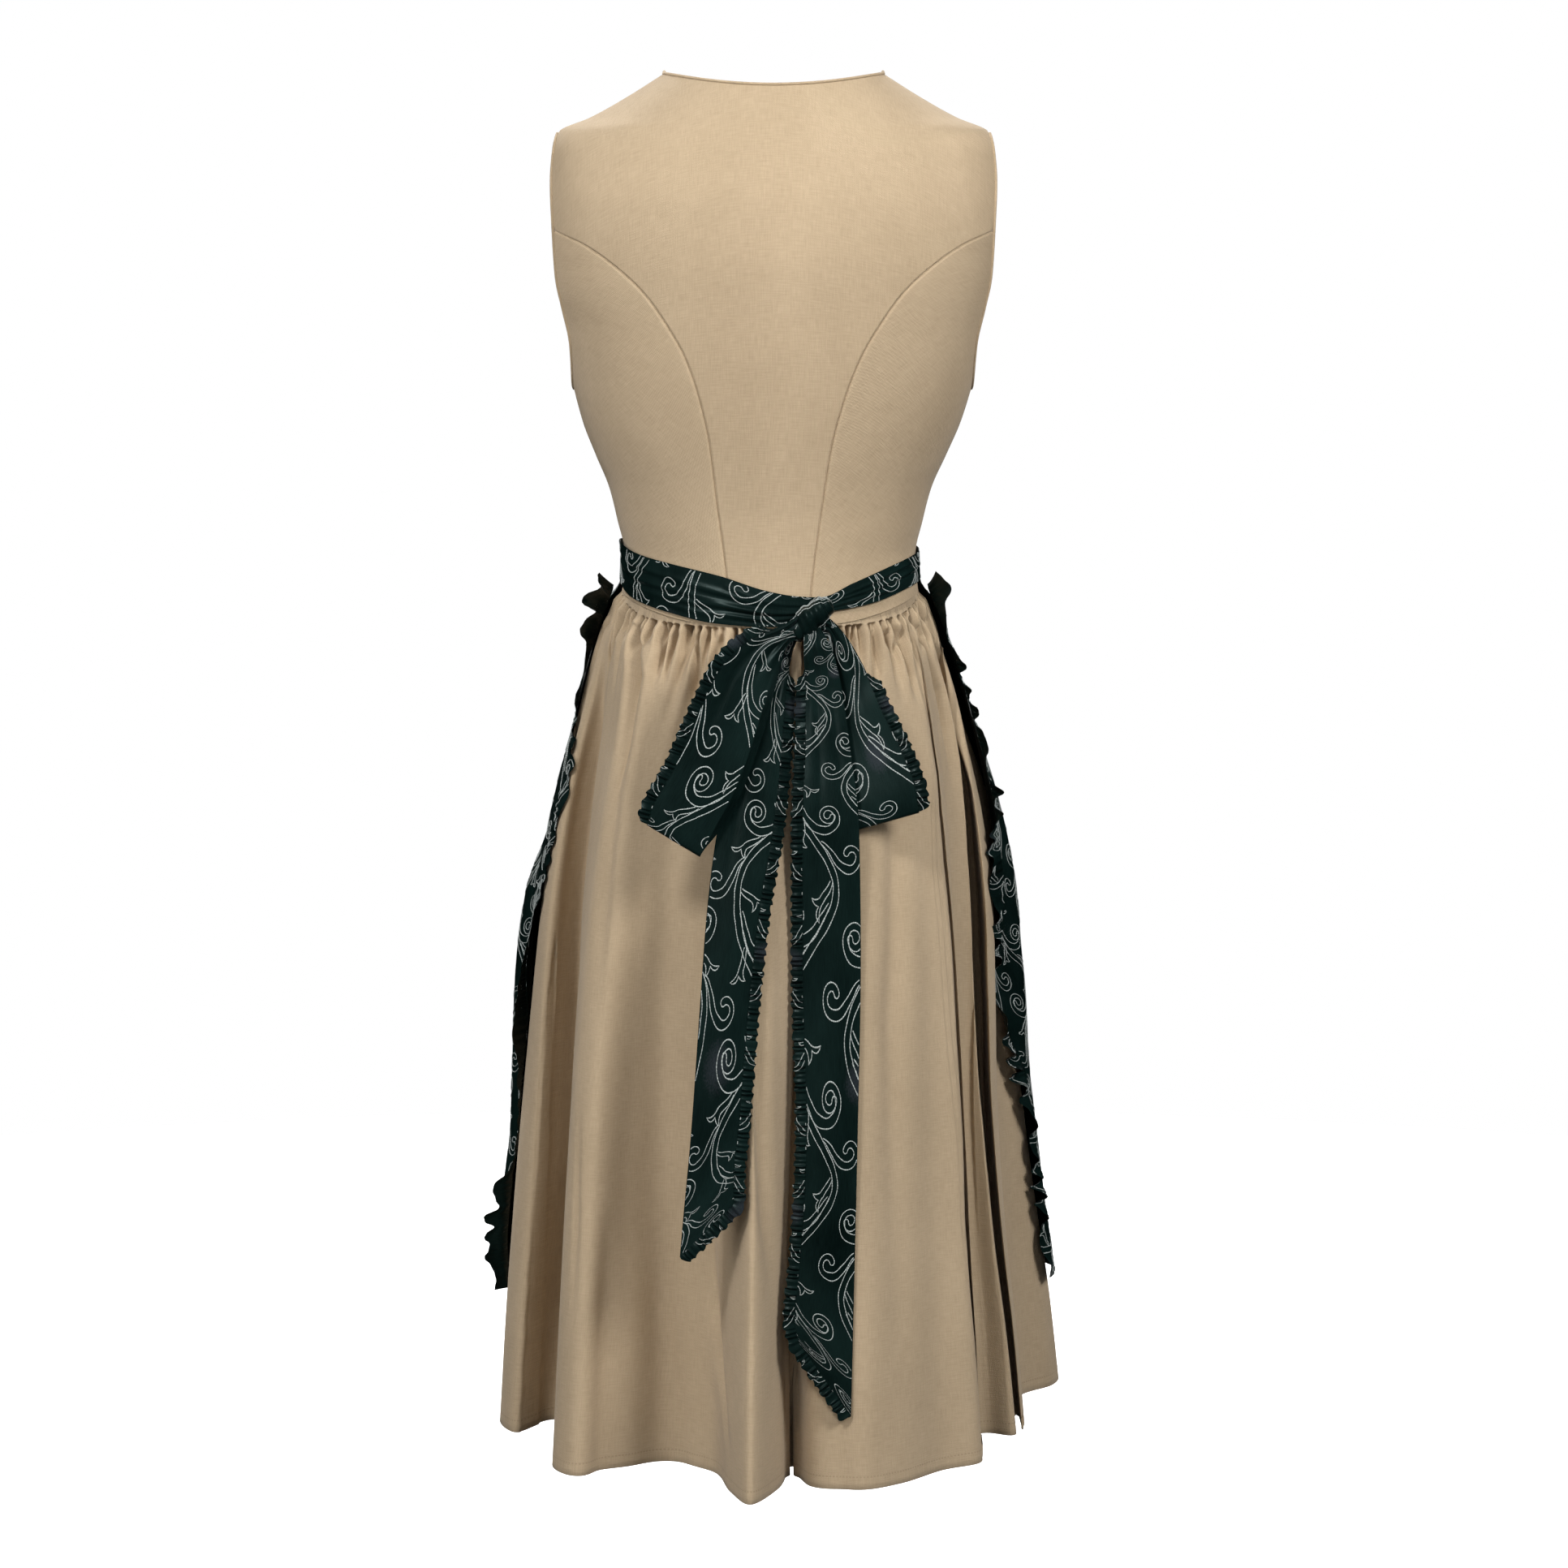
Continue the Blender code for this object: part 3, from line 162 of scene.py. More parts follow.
def sewn(name, points, faces, flat, finish):
    """One piece of cloth or thread; flat holds each point's place in the cut, in metres."""
    mesh = bpy.data.meshes.new(name)
    mesh.vertices.add(len(points))
    mesh.vertices.foreach_set("co", points.reshape(-1))
    mesh.loops.add(faces.size)
    mesh.loops.foreach_set("vertex_index", faces.reshape(-1))
    mesh.polygons.add(len(faces))
    mesh.polygons.foreach_set("loop_start", np.arange(0, faces.size, 4))
    mesh.update(calc_edges=True)
    mesh.uv_layers.new(name="cut").data.foreach_set("uv", flat[faces.reshape(-1)].reshape(-1))
    mesh.polygons.foreach_set("use_smooth", np.ones(len(faces), bool))
    mesh.materials.append(finish)
    piece = bpy.data.objects.new(name, mesh)
    bpy.context.collection.objects.link(piece)
    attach(piece, "root")
    return piece


def cloth(node, points, flat, finish, kind="_cloth"):
    """A piece of cloth over a net of points, in place of a node; its faces look off the body."""
    points, (rows, columns) = leaned(points), points.shape[:2]
    corner = np.arange(rows * columns).reshape(rows, columns)
    faces = np.stack([corner[:-1, :-1], corner[1:, :-1], corner[1:, 1:], corner[:-1, 1:]], -1).reshape(-1, 4)
    first_side = np.cross(points[1:, :-1] - points[:-1, :-1], points[:-1, 1:] - points[:-1, :-1])
    if (first_side * normals(points)[:-1, :-1]).sum() < 0:
        faces = faces[:, ::-1]
    piece = sewn(node + kind, points.reshape(-1, 3), faces, flat.reshape(-1, 2), finish)
    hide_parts(node)
    return piece


class Wire:
    """A value inside a finish; sums written with it become the finish's own nodes."""

    def __init__(self, finish, socket):
        self.finish, self.socket = finish, socket

    def join(self, operation, *values):
        return self.finish.node("Math", {"operation": operation}, dict(enumerate(values)))

    def through(self, operation, *others):
        return self.join(operation, self, *others)

    def __add__(self, other): return self.join("ADD", self, other)
    def __radd__(self, other): return self.join("ADD", other, self)
    def __sub__(self, other): return self.join("SUBTRACT", self, other)
    def __rsub__(self, other): return self.join("SUBTRACT", other, self)
    def __mul__(self, other): return self.join("MULTIPLY", self, other)
    def __rmul__(self, other): return self.join("MULTIPLY", other, self)
    def __gt__(self, other): return self.join("GREATER_THAN", self, other)
    def __lt__(self, other): return self.join("LESS_THAN", self, other)


class Finish:
    """A cloth's look: its sockets are filled with numbers, colours or wires."""

    def __init__(self, name, **constants):
        self.material = bpy.data.materials.new(name)
        self.material.use_nodes = True
        self.tree = self.material.node_tree
        self.shader = self.tree.nodes["Principled BSDF"]
        self.wear(**constants)

    def fill(self, socket, value):
        if isinstance(value, Wire):
            self.tree.links.new(value.socket, socket)
        elif isinstance(value, tuple) and len(value) == 3 and socket.type == "RGBA":
            socket.default_value = (*value, 1.0)
        else:
            socket.default_value = value

    def node(self, kind, settings, sockets, output=0):
        made = self.tree.nodes.new("ShaderNode" + kind)
        for name, value in settings.items():
            setattr(made, name, value)
        for name, value in sockets.items():
            self.fill(made.inputs[name], value)
        return Wire(self, made.outputs[output])

    def cut(self):
        """The place in the cut cloth, in metres: along the weft, and along the warp."""
        place = self.node("UVMap", {"uv_map": "cut"}, {})
        split = self.node("SeparateXYZ", {}, {0: place})
        return split, Wire(self, split.socket.node.outputs[1])

    def noise(self, across, along, detail=2.0):
        """A soft irregular value round 0, finer where the two wires run faster over the cut."""
        sockets = {"Vector": self.node("CombineXYZ", {}, {0: across, 1: along}), "Scale": 1.0, "Detail": detail}
        return self.node("TexNoise", {"noise_dimensions": "2D"}, sockets) - 0.5

    def blend(self, share, first, second):
        return self.node("Mix", {"data_type": "RGBA"}, {0: share, 6: first, 7: second}, 2)

    def wear(self, **channels):
        for socket, value in channels.items():
            self.fill(self.shader.inputs[socket.replace("_", " ")], value)
        return self.material

    def relief(self, height, distance, strength):
        return self.node("Bump", {}, {"Height": height, "Distance": distance, "Strength": strength})


LINEN_DARK, LINEN_LIGHT = (0.385, 0.290, 0.184), (0.545, 0.420, 0.278)
THREADS, SLUBS = 1300.0, 80.0           # changes a metre across a thread, and along it
TWILL_PITCH, LINEN_RELIEF = 0.0013, 0.00018
HEM_DEPTH, STITCH_LENGTH, STITCH_WIDTH = 0.010, 0.0028, 0.0006


def linen(name, hem=False):
    """Beige linen twill: slubbed threads both ways, a fine diagonal, and slow changes of tone."""
    look = Finish(name, Roughness=0.88, Sheen_Weight=0.12, Sheen_Roughness=0.5, Specular_IOR_Level=0.25)
    across, along = look.cut()
    warp = look.noise(across * THREADS, along * SLUBS)
    weft = look.noise(across * SLUBS, along * THREADS)
    broad = look.noise(across * 16.0, along * 9.0, 3.0)
    twill = ((across + along) * (2 * math.pi / TWILL_PITCH)).through("SINE")
    tone = 0.5 + warp * 0.68 + weft * 0.68 + broad * 0.55 + twill * 0.14
    height = twill * 0.5 + warp + weft
    if hem:
        stitch = (across * (2 * math.pi / STITCH_LENGTH)).through("SINE") > -0.2
        thread = ((along - HEM_DEPTH).through("ABSOLUTE") < STITCH_WIDTH) * stitch
        tone = tone - thread * 0.55
        height = height - thread * 1.5
    colour = look.blend(tone, LINEN_DARK, LINEN_LIGHT)
    return look.wear(Base_Color=colour, Normal=look.relief(height, LINEN_RELIEF, 0.7))


linen_cloth = linen("beige_linen_twill")

BACK_CROSSING_Z, FRONT_CROSSING_Z = -0.119, -0.152    # where the princess seams meet the armholes
UNDERARM_Z, SHOULDER_TIP_Z = -0.2415, -0.043
BACK_NECK_Z, FRONT_NECK_Z, NECK_TO_BREAST = -0.010, -0.135, 0.030
back_princess, = curves(table("z x", [
    (-0.4250, 0.0300), (-0.3875, 0.0325), (-0.3200, 0.0411), (-0.2800, 0.0467), (-0.2475, 0.0546),
    (-0.2150, 0.0663), (-0.1885, 0.0816), (-0.1655, 0.0985), (-0.1447, 0.1215), (-0.1290, 0.1450),
    (BACK_CROSSING_Z, 0.1677)]))
back_armhole, = curves(table("z x", [
    (UNDERARM_Z, 0.1536), (-0.2289, 0.1514), (-0.2039, 0.1539), (-0.1789, 0.1603), (-0.1539, 0.1656),
    (BACK_CROSSING_Z, 0.1677), (-0.0792, 0.1692), (-0.0569, 0.1676), (SHOULDER_TIP_Z, 0.1650)]))
front_princess, = curves(table("z x", [
    (-0.4100, 0.0480), (-0.3300, 0.0600), (-0.2600, 0.0780), (-0.2200, 0.0920), (-0.1900, 0.1080),
    (-0.1700, 0.1250), (FRONT_CROSSING_Z, 0.1480)]))
front_armhole, = curves(table("z x", [
    (UNDERARM_Z, 0.1536), (-0.2150, 0.1515), (-0.1800, 0.1495), (FRONT_CROSSING_Z, 0.1480), (-0.1200, 0.1490),
    (-0.0900, 0.1530), (-0.0600, 0.1605), (SHOULDER_TIP_Z, 0.1650)]))
BACK_LEVELS = (waist_seam(16), -0.388, -0.366, -0.338, -0.300, -0.262, -0.225, -0.190,
               -0.160, -0.141, -0.131, -0.124, BACK_CROSSING_Z)
FRONT_LEVELS = (waist_seam(152), -0.384, -0.364, -0.335, -0.300, -0.262, -0.228, -0.198,
                -0.174, -0.161, FRONT_CROSSING_Z)


def crowded(count, low=0.0, high=1.0):
    """Places from low to high that stand twice as close at the ends as on average."""
    t = np.linspace(0.0, 1.0, count)
    return low + (high - low) * (0.5 * t + 0.25 * (1 - np.cos(math.pi * t)))


SEAM_DIP, SEAM_WIDTH, PIPED_FROM_Z, PIPED_HEIGHT = 0.0015, 0.0009, -0.125, 0.012


def pressed(points):
    """Rolls a panel's seam edges in, as a pressed seam draws them; piped edges lie flat."""
    along = reach(points, 1)
    gap = np.minimum(along, along[:, -1:] - along)
    sewn_down = 1 - ease((points[:, -1:, 2] - PIPED_FROM_Z) / PIPED_HEIGHT)
    return points - normals(points) * (SEAM_DIP * np.exp(-(gap / SEAM_WIDTH) ** 2) * sewn_down)[..., None]


ARM_STEPS = SHOULDER_STEPS = 3          # levels up the armhole, and along the shoulder


def panel_edge(seam, armhole, levels, number):
    """The outer edge of a middle panel: princess seam, armhole, shoulder line."""
    last_seam = len(levels) - 1
    z = np.interp(number, range(len(levels) + ARM_STEPS + SHOULDER_STEPS), [
        *levels, *np.linspace(levels[-1], SHOULDER_TIP_Z, ARM_STEPS + 1)[1:],
        *np.linspace(SHOULDER_TIP_Z, 0, SHOULDER_STEPS + 1)[1:]])
    x = np.where(number <= last_seam, seam(z), np.where(z <= SHOULDER_TIP_Z, armhole(z), half_width(z)))
    return x, z


def middle_panel(levels, seam, armhole, front, rows, columns):
    """The back panel across both sides, or one front panel from the middle out."""
    last_seam, last = len(levels) - 1, len(levels) - 1 + ARM_STEPS + SHOULDER_STEPS
    number = np.linspace(0, last, rows)[:, None]
    u = crowded(columns, 0.0 if front else -1.0, 1.0)[None, :]
    edge_x, edge_z = panel_edge(seam, armhole, levels, number)
    upper = np.clip((number - last_seam) / (last - last_seam), 0, 1)
    share = np.sign(u) * (np.abs(u) * (1 - ease(upper)) + np.sin(0.5 * math.pi * np.abs(u)) * ease(upper))
    if front:
        breast_z = FRONT_NECK_Z - NECK_TO_BREAST
        way = np.clip((edge_z - levels[0]) / (FRONT_CROSSING_Z - levels[0]), 0, 1)
        middle_z = np.where(number <= last_seam, levels[0] + (breast_z - levels[0]) * way,
                            breast_z + (FRONT_NECK_Z - breast_z) * upper)
        z = edge_z + (middle_z - edge_z) * (1 - np.abs(share) ** (1.6 + 0.8 * number / last))
    else:
        middle_z = np.where(number <= last_seam,
                            edge_z + (waist_seam(0) - levels[0]) * (1 - number / last_seam),
                            BACK_CROSSING_Z + (BACK_NECK_Z - BACK_CROSSING_Z) * upper)
        z = edge_z + (middle_z - edge_z) * (1 - share ** 2)
    return torso(turn_at(share * edge_x, z, front), z)


def side_panel(levels, seam, armhole, front, rows, columns):
    """A side panel, blended between princess seam, side seam, waist and armhole."""
    number = np.linspace(0, len(levels) - 1, rows)[:, None]
    z = np.interp(number, range(len(levels)), levels)
    v, u = (z - levels[0]) / (levels[-1] - levels[0]), crowded(columns)[None, :]
    start_turn = turn_at(seam(levels[0]), levels[0], front)
    side_z = waist_seam(90)
    seam_edge = turn_at(seam(z), z, front), z
    side_edge = 90.0, side_z + (UNDERARM_Z - side_z) * v
    waist_edge = start_turn + (90.0 - start_turn) * u, levels[0] + (side_z - levels[0]) * ease(u)
    arm_z = levels[-1] + (UNDERARM_Z - levels[-1]) * u
    arm_turn = turn_at(armhole(arm_z), arm_z, front)
    arm_edge = arm_turn + (90 - arm_turn) * u ** 6, arm_z + (UNDERARM_Z - arm_z) * u ** 6
    net = []
    for axis in (0, 1):
        start, end = waist_edge[axis][0, 0], waist_edge[axis][0, -1]
        top, side = arm_edge[axis][0, 0], (90.0, UNDERARM_Z)[axis]
        ruled = (waist_edge[axis] * (1 - v) + arm_edge[axis] * v
                 + seam_edge[axis] * (1 - u) + side_edge[axis] * u)
        net.append(ruled - (start * (1 - u) + end * u) * (1 - v) - (top * (1 - u) + side * u) * v)
    return torso(*net)


def cut_of(points, slant):
    """Where each point lies in the cut panel; slant turns the grain, in degrees."""
    across, along = reach(points, 1), reach(points, 0)
    across = across - across[:, -1:] / 2
    c, s = math.cos(math.radians(slant)), math.sin(math.radians(slant))
    return np.stack([across * c - along * s, across * s + along * c], -1)


def other_side(points):
    return points * np.array([-1.0, 1.0, 1.0])


def bodice_panel(name, points, slant, mirror=False):
    made, flat = pressed(points), cut_of(points, slant)
    if mirror:
        made, flat = other_side(made), flat * np.array([-1.0, 1.0])
    panel = cloth(name, made, flat, linen_cloth)


CROSS_GRAIN = 38.0
back_net = middle_panel(BACK_LEVELS, back_princess, back_armhole, False, 130, 151)
front_net = middle_panel(FRONT_LEVELS, front_princess, front_armhole, True, 130, 84)
back_side_net = side_panel(BACK_LEVELS, back_princess, back_armhole, False, 130, 80)
front_side_net = side_panel(FRONT_LEVELS, front_princess, front_armhole, True, 110, 70)
bodice_panel("back_centre", back_net, 0.0)
for pair, net, slant, cut in (("back_side", back_side_net, CROSS_GRAIN, (0.14, 0.31, 0.034)),
                              ("front", front_net, 0.0, (0.17, 0.41, 0.039)),
                              ("front_side", front_side_net, 0.0, (0.12, 0.25, 0.026))):
    bodice_panel(pair + "_left", net, slant)
    bodice_panel(pair + "_right", net, slant, mirror=True)

# ---------------------------------------------------------------- piping
# Cotton cord in a bias strip of the same linen, caught in the armhole and neck seams.  It
# lies against the panels' cut edges and runs right round each opening.

PIPING_RADIUS, PIPING_OVERLAP, PIPING_SIDES, BIAS = 0.0013, 0.0003, 10, 0.7
SIDE_NECK = (0.0841, 0.0, 0.0020)


def round_cord(name, line, closed):
    """A cord round a line of points, made where the line hangs."""
    line = leaned(line)
    ahead = unit(np.roll(line, -1, 0) - np.roll(line, 1, 0) if closed else np.gradient(line, axis=0))
    side = unit(np.cross(ahead, (0.0, 0.0, 1.0)))
    up = np.cross(side, ahead)
    around = np.linspace(0, 2 * math.pi, PIPING_SIDES + 1)[None, :, None]
    net = line[:, None] + PIPING_RADIUS * (np.cos(around) * side[:, None] + np.sin(around) * up[:, None])
    if closed:
        net = np.concatenate([net, net[:1]])
    along = reach(net, 0)
    flat = np.stack([around[..., 0] * PIPING_RADIUS + along * BIAS, along], -1)
    cloth(name, 2 * net - leaned(net), flat, linen_cloth, "_cord")      # cloth leans it again


def beside(edges, inners):
    """The middle of a piping along a cut edge, square off the cloth behind it."""
    along, away = unit(np.gradient(edges, axis=0)), edges - inners
    away = unit(away - along * (away * along).sum(1, keepdims=True))
    return edges + away * (PIPING_RADIUS - PIPING_OVERLAP)


def beside_armhole(net, levels):
    """The piping beside a middle panel's armhole, from the princess seam to the shoulder."""
    crossing = len(levels) - 1
    number = np.linspace(0, crossing + ARM_STEPS + SHOULDER_STEPS, len(net))
    rows = np.where((number > crossing + 0.1) & (number < crossing + ARM_STEPS - 0.05))[0]
    return beside(net[rows, -1], net[rows, -6])


arm_line = np.concatenate([
    beside_armhole(back_net, BACK_LEVELS)[::-1],
    beside(back_side_net[-1], back_side_net[-6])[2:-2],
    beside(front_side_net[-1], front_side_net[-6])[::-1][2:-2],
    beside_armhole(front_net, FRONT_LEVELS)])
half_neck = np.concatenate([
    beside(front_net[-1], front_net[-6])[:-3], [SIDE_NECK],
    beside(back_net[-1], back_net[-6])[::-1][3:back_net.shape[1] // 2 + 1]])
round_cord("armhole_piping_left", arm_line, closed=True)
round_cord("armhole_piping_right", other_side(arm_line), closed=True)
round_cord("neck_piping", np.concatenate([half_neck, other_side(half_neck)[::-1][1:]]), closed=False)

# ---------------------------------------------------------------- skirt
# Two breadths of the same linen, gathered by two rows of stitches into the waist seam.
# The gathers run out in the upper third, and below them the cloth hangs in large soft folds
# over a petticoat.  The hem is turned up 1 cm and machine stitched.

HEM_Z = -1.061
HEM = 0.001 * np.array([
    (14, 241), (30, 205), (44, 147), (83, 120), (113, 134), (145, 160), (166, 138), (165, 95), (156, 52),
    (180, 26), (201, 32), (215, 2), (213, -40), (198, -74), (213, -116), (195, -155), (163, -160),
    (140, -208), (103, -184), (66, -224), (30, -200), (-6, -232), (-45, -198), (-83, -226), (-118, -188),
    (-156, -212), (-184, -182), (-218, -183), (-240, -155), (-235, -122), (-211, -94), (-192, -55),
    (-206, -6), (-196, 40), (-172, 34), (-148, 58), (-163, 96), (-163, 124), (-133, 145), (-100, 182),
    (-63, 202), (-32, 190), (-16, 150), (-7, 196)])
flare_by_drop, folds_by_drop, right_in_by_drop = curves(table("drop flare folds right_in", [
    (0.00, 0.000, 0.00, 0.000), (0.03, 0.085, 0.03, 0.000), (0.07, 0.185, 0.09, 0.000),
    (0.13, 0.310, 0.18, -0.003), (0.20, 0.450, 0.29, -0.004), (0.28, 0.580, 0.40, -0.003),
    (0.38, 0.690, 0.52, 0.001), (0.48, 0.755, 0.62, 0.006), (0.62, 0.825, 0.74, 0.010),
    (0.76, 0.890, 0.85, 0.009), (0.88, 0.950, 0.93, 0.006), (1.00, 1.000, 1.00, 0.004)]))
LEFT_SEAM, RIGHT_SEAM = 0.212, -0.238   # side seams, as shares of the way round from centre back
WAIST_GIRTH, SKIRT_CUT_LENGTH, TAPER = 0.70, 0.67, 0.86
HEM_SAMPLES, SMOOTHED_OVER, STEPS_A_CORNER = 720, 46, 24


def closed_curve(corners, samples):
    """A smooth closed curve through the corners, evenly sampled."""
    before, start, end, after = (np.roll(corners, -k, 0)[:, None] for k in (-1, 0, 1, 2))
    t = np.arange(STEPS_A_CORNER)[None, :, None] / STEPS_A_CORNER
    dense = 0.5 * (2 * start + (end - before) * t + (2 * before - 5 * start + 4 * end - after) * t * t
                   + (3 * start - before - 3 * end + after) * t ** 3)
    dense = dense.reshape(-1, 2)
    dense = np.concatenate([dense, dense[:1]])
    run = reach(dense, 0)
    return at_run(dense, run, run[-1] * np.arange(samples) / samples), run[-1]


def at_run(line, run, want):
    """The points of a line at distances wanted along its run."""
    return np.stack([np.interp(want, run, column) for column in line.T], -1)


hem_loop, HEM_LENGTH = closed_curve(HEM, HEM_SAMPLES)
hem_base = np.mean([np.roll(hem_loop, k, 0) for k in range(-SMOOTHED_OVER, SMOOTHED_OVER + 1)], 0)


def on_loop(loop, share):
    """The points of the hem's curve at shares of the way round."""
    return at_run(np.concatenate([loop, loop[:1]]), np.arange(len(loop) + 1) / len(loop), share % 1.0)


RIGHT_TURN = -108.0          # the skirt is pushed in most at this turn, under the arm


def apart(share, place):
    """How far round from one place to another, the short way."""
    return (share - place + 0.5) % 1.0 - 0.5


def skirt_plan(share, z):
    """Where the skirt runs at one height, without its gathers."""
    share, z = np.broadcast_arrays(np.asarray(share, float), z)
    turn = 360.0 * share
    top = waist_seam(turn)
    drop = np.maximum(0.0, (top - z) / (top - HEM_Z))
    waist = torso(turn, np.maximum(z, top))[..., :2]
    base = on_loop(hem_base, share)
    plan = waist + (base - waist) * flare_by_drop(drop)[..., None]
    plan = plan + (on_loop(hem_loop, share) - base) * folds_by_drop(drop)[..., None]
    toward_right = np.maximum(0.0, np.cos(np.radians(turn - RIGHT_TURN))) ** 2
    return plan - unit(plan) * (right_in_by_drop(drop) * toward_right)[..., None]


def skirt_out(share, z):
    """The way out of the skirt's folds at one height."""
    along = skirt_plan(share + 0.0015, z) - skirt_plan(share - 0.0015, z)
    out = unit(np.stack([-along[..., 1], along[..., 0]], -1))
    return out * np.where((out * skirt_plan(share, z)).sum(-1) < 0, -1.0, 1.0)[..., None]


def uneven(number, seed):
    """A value between 0 and 1 that differs from one gather to the next."""
    return (np.sin(number * 12.9898 + seed * 78.233) * 43758.5453) % 1.0


def between(ends, share):
    return ends[0] + (ends[1] - ends[0]) * share


GATHERS = 108
GATHER_LENGTHS, GATHER_WIDTHS, GATHER_DEPTHS = (0.032, 0.122), (0.0013, 0.0021), (0.0042, 0.0098)
TUCKED, RIDGE_HEIGHT, SLOW_HEIGHT = 2.5, 0.0024, 0.0014      # a tucked gather goes in so much deeper
FULLNESS, LESS_UNDER_BOW = 0.0040, 0.0034                     # how far the gathers puff out below the seam
# The valleys between the folds, from the waist seam down.  Each row says how far down it is and
# how far round from centre back, in thousandths, then the valley's depth and half width in mm.
# First the two deep ones at the right, then the left seam's own way down, then all the others:
# the back from the left seam to the right, and the rest.
RIGHT_VALLEY = thousandths("down share depth width", [
    (60, -236, 0, 2.6), (180, -232, 36, 4.4), (240, -229.5, 56, 6), (300, -228, 70, 7.2),
    (428, -230, 80, 7.4), (622, -235.5, 80, 7), (740, -237, 76, 7), (857, -238.5, 70, 6.8),
    (950, -240, 60, 6.6), (1000, -241, 54, 6.6)])
THIN_VALLEY = thousandths("down share depth width", [
    (30, -169, 0, 3), (60, -172.2, 5, 3.6), (135, -174.5, 7, 3.4), (190, -173.5, 9, 3),
    (231, -167.5, 10, 3), (290, -164.5, 11, 2.8), (492, -164, 16, 2.4), (613, -166, 30, 2.5),
    (710, -165.2, 36, 2.7), (806, -167.2, 38, 2.9), (900, -170, 38, 3.2), (1000, -171.5, 34, 3.6)])
THIN_SHARE = -0.1665
LEFT_SEAM_WAY = thousandths("down share", [
    (0, 214), (79, 198.5), (214, 196.5), (440, 195.8), (690, 196), (840, 199), (1000, 201.5)])
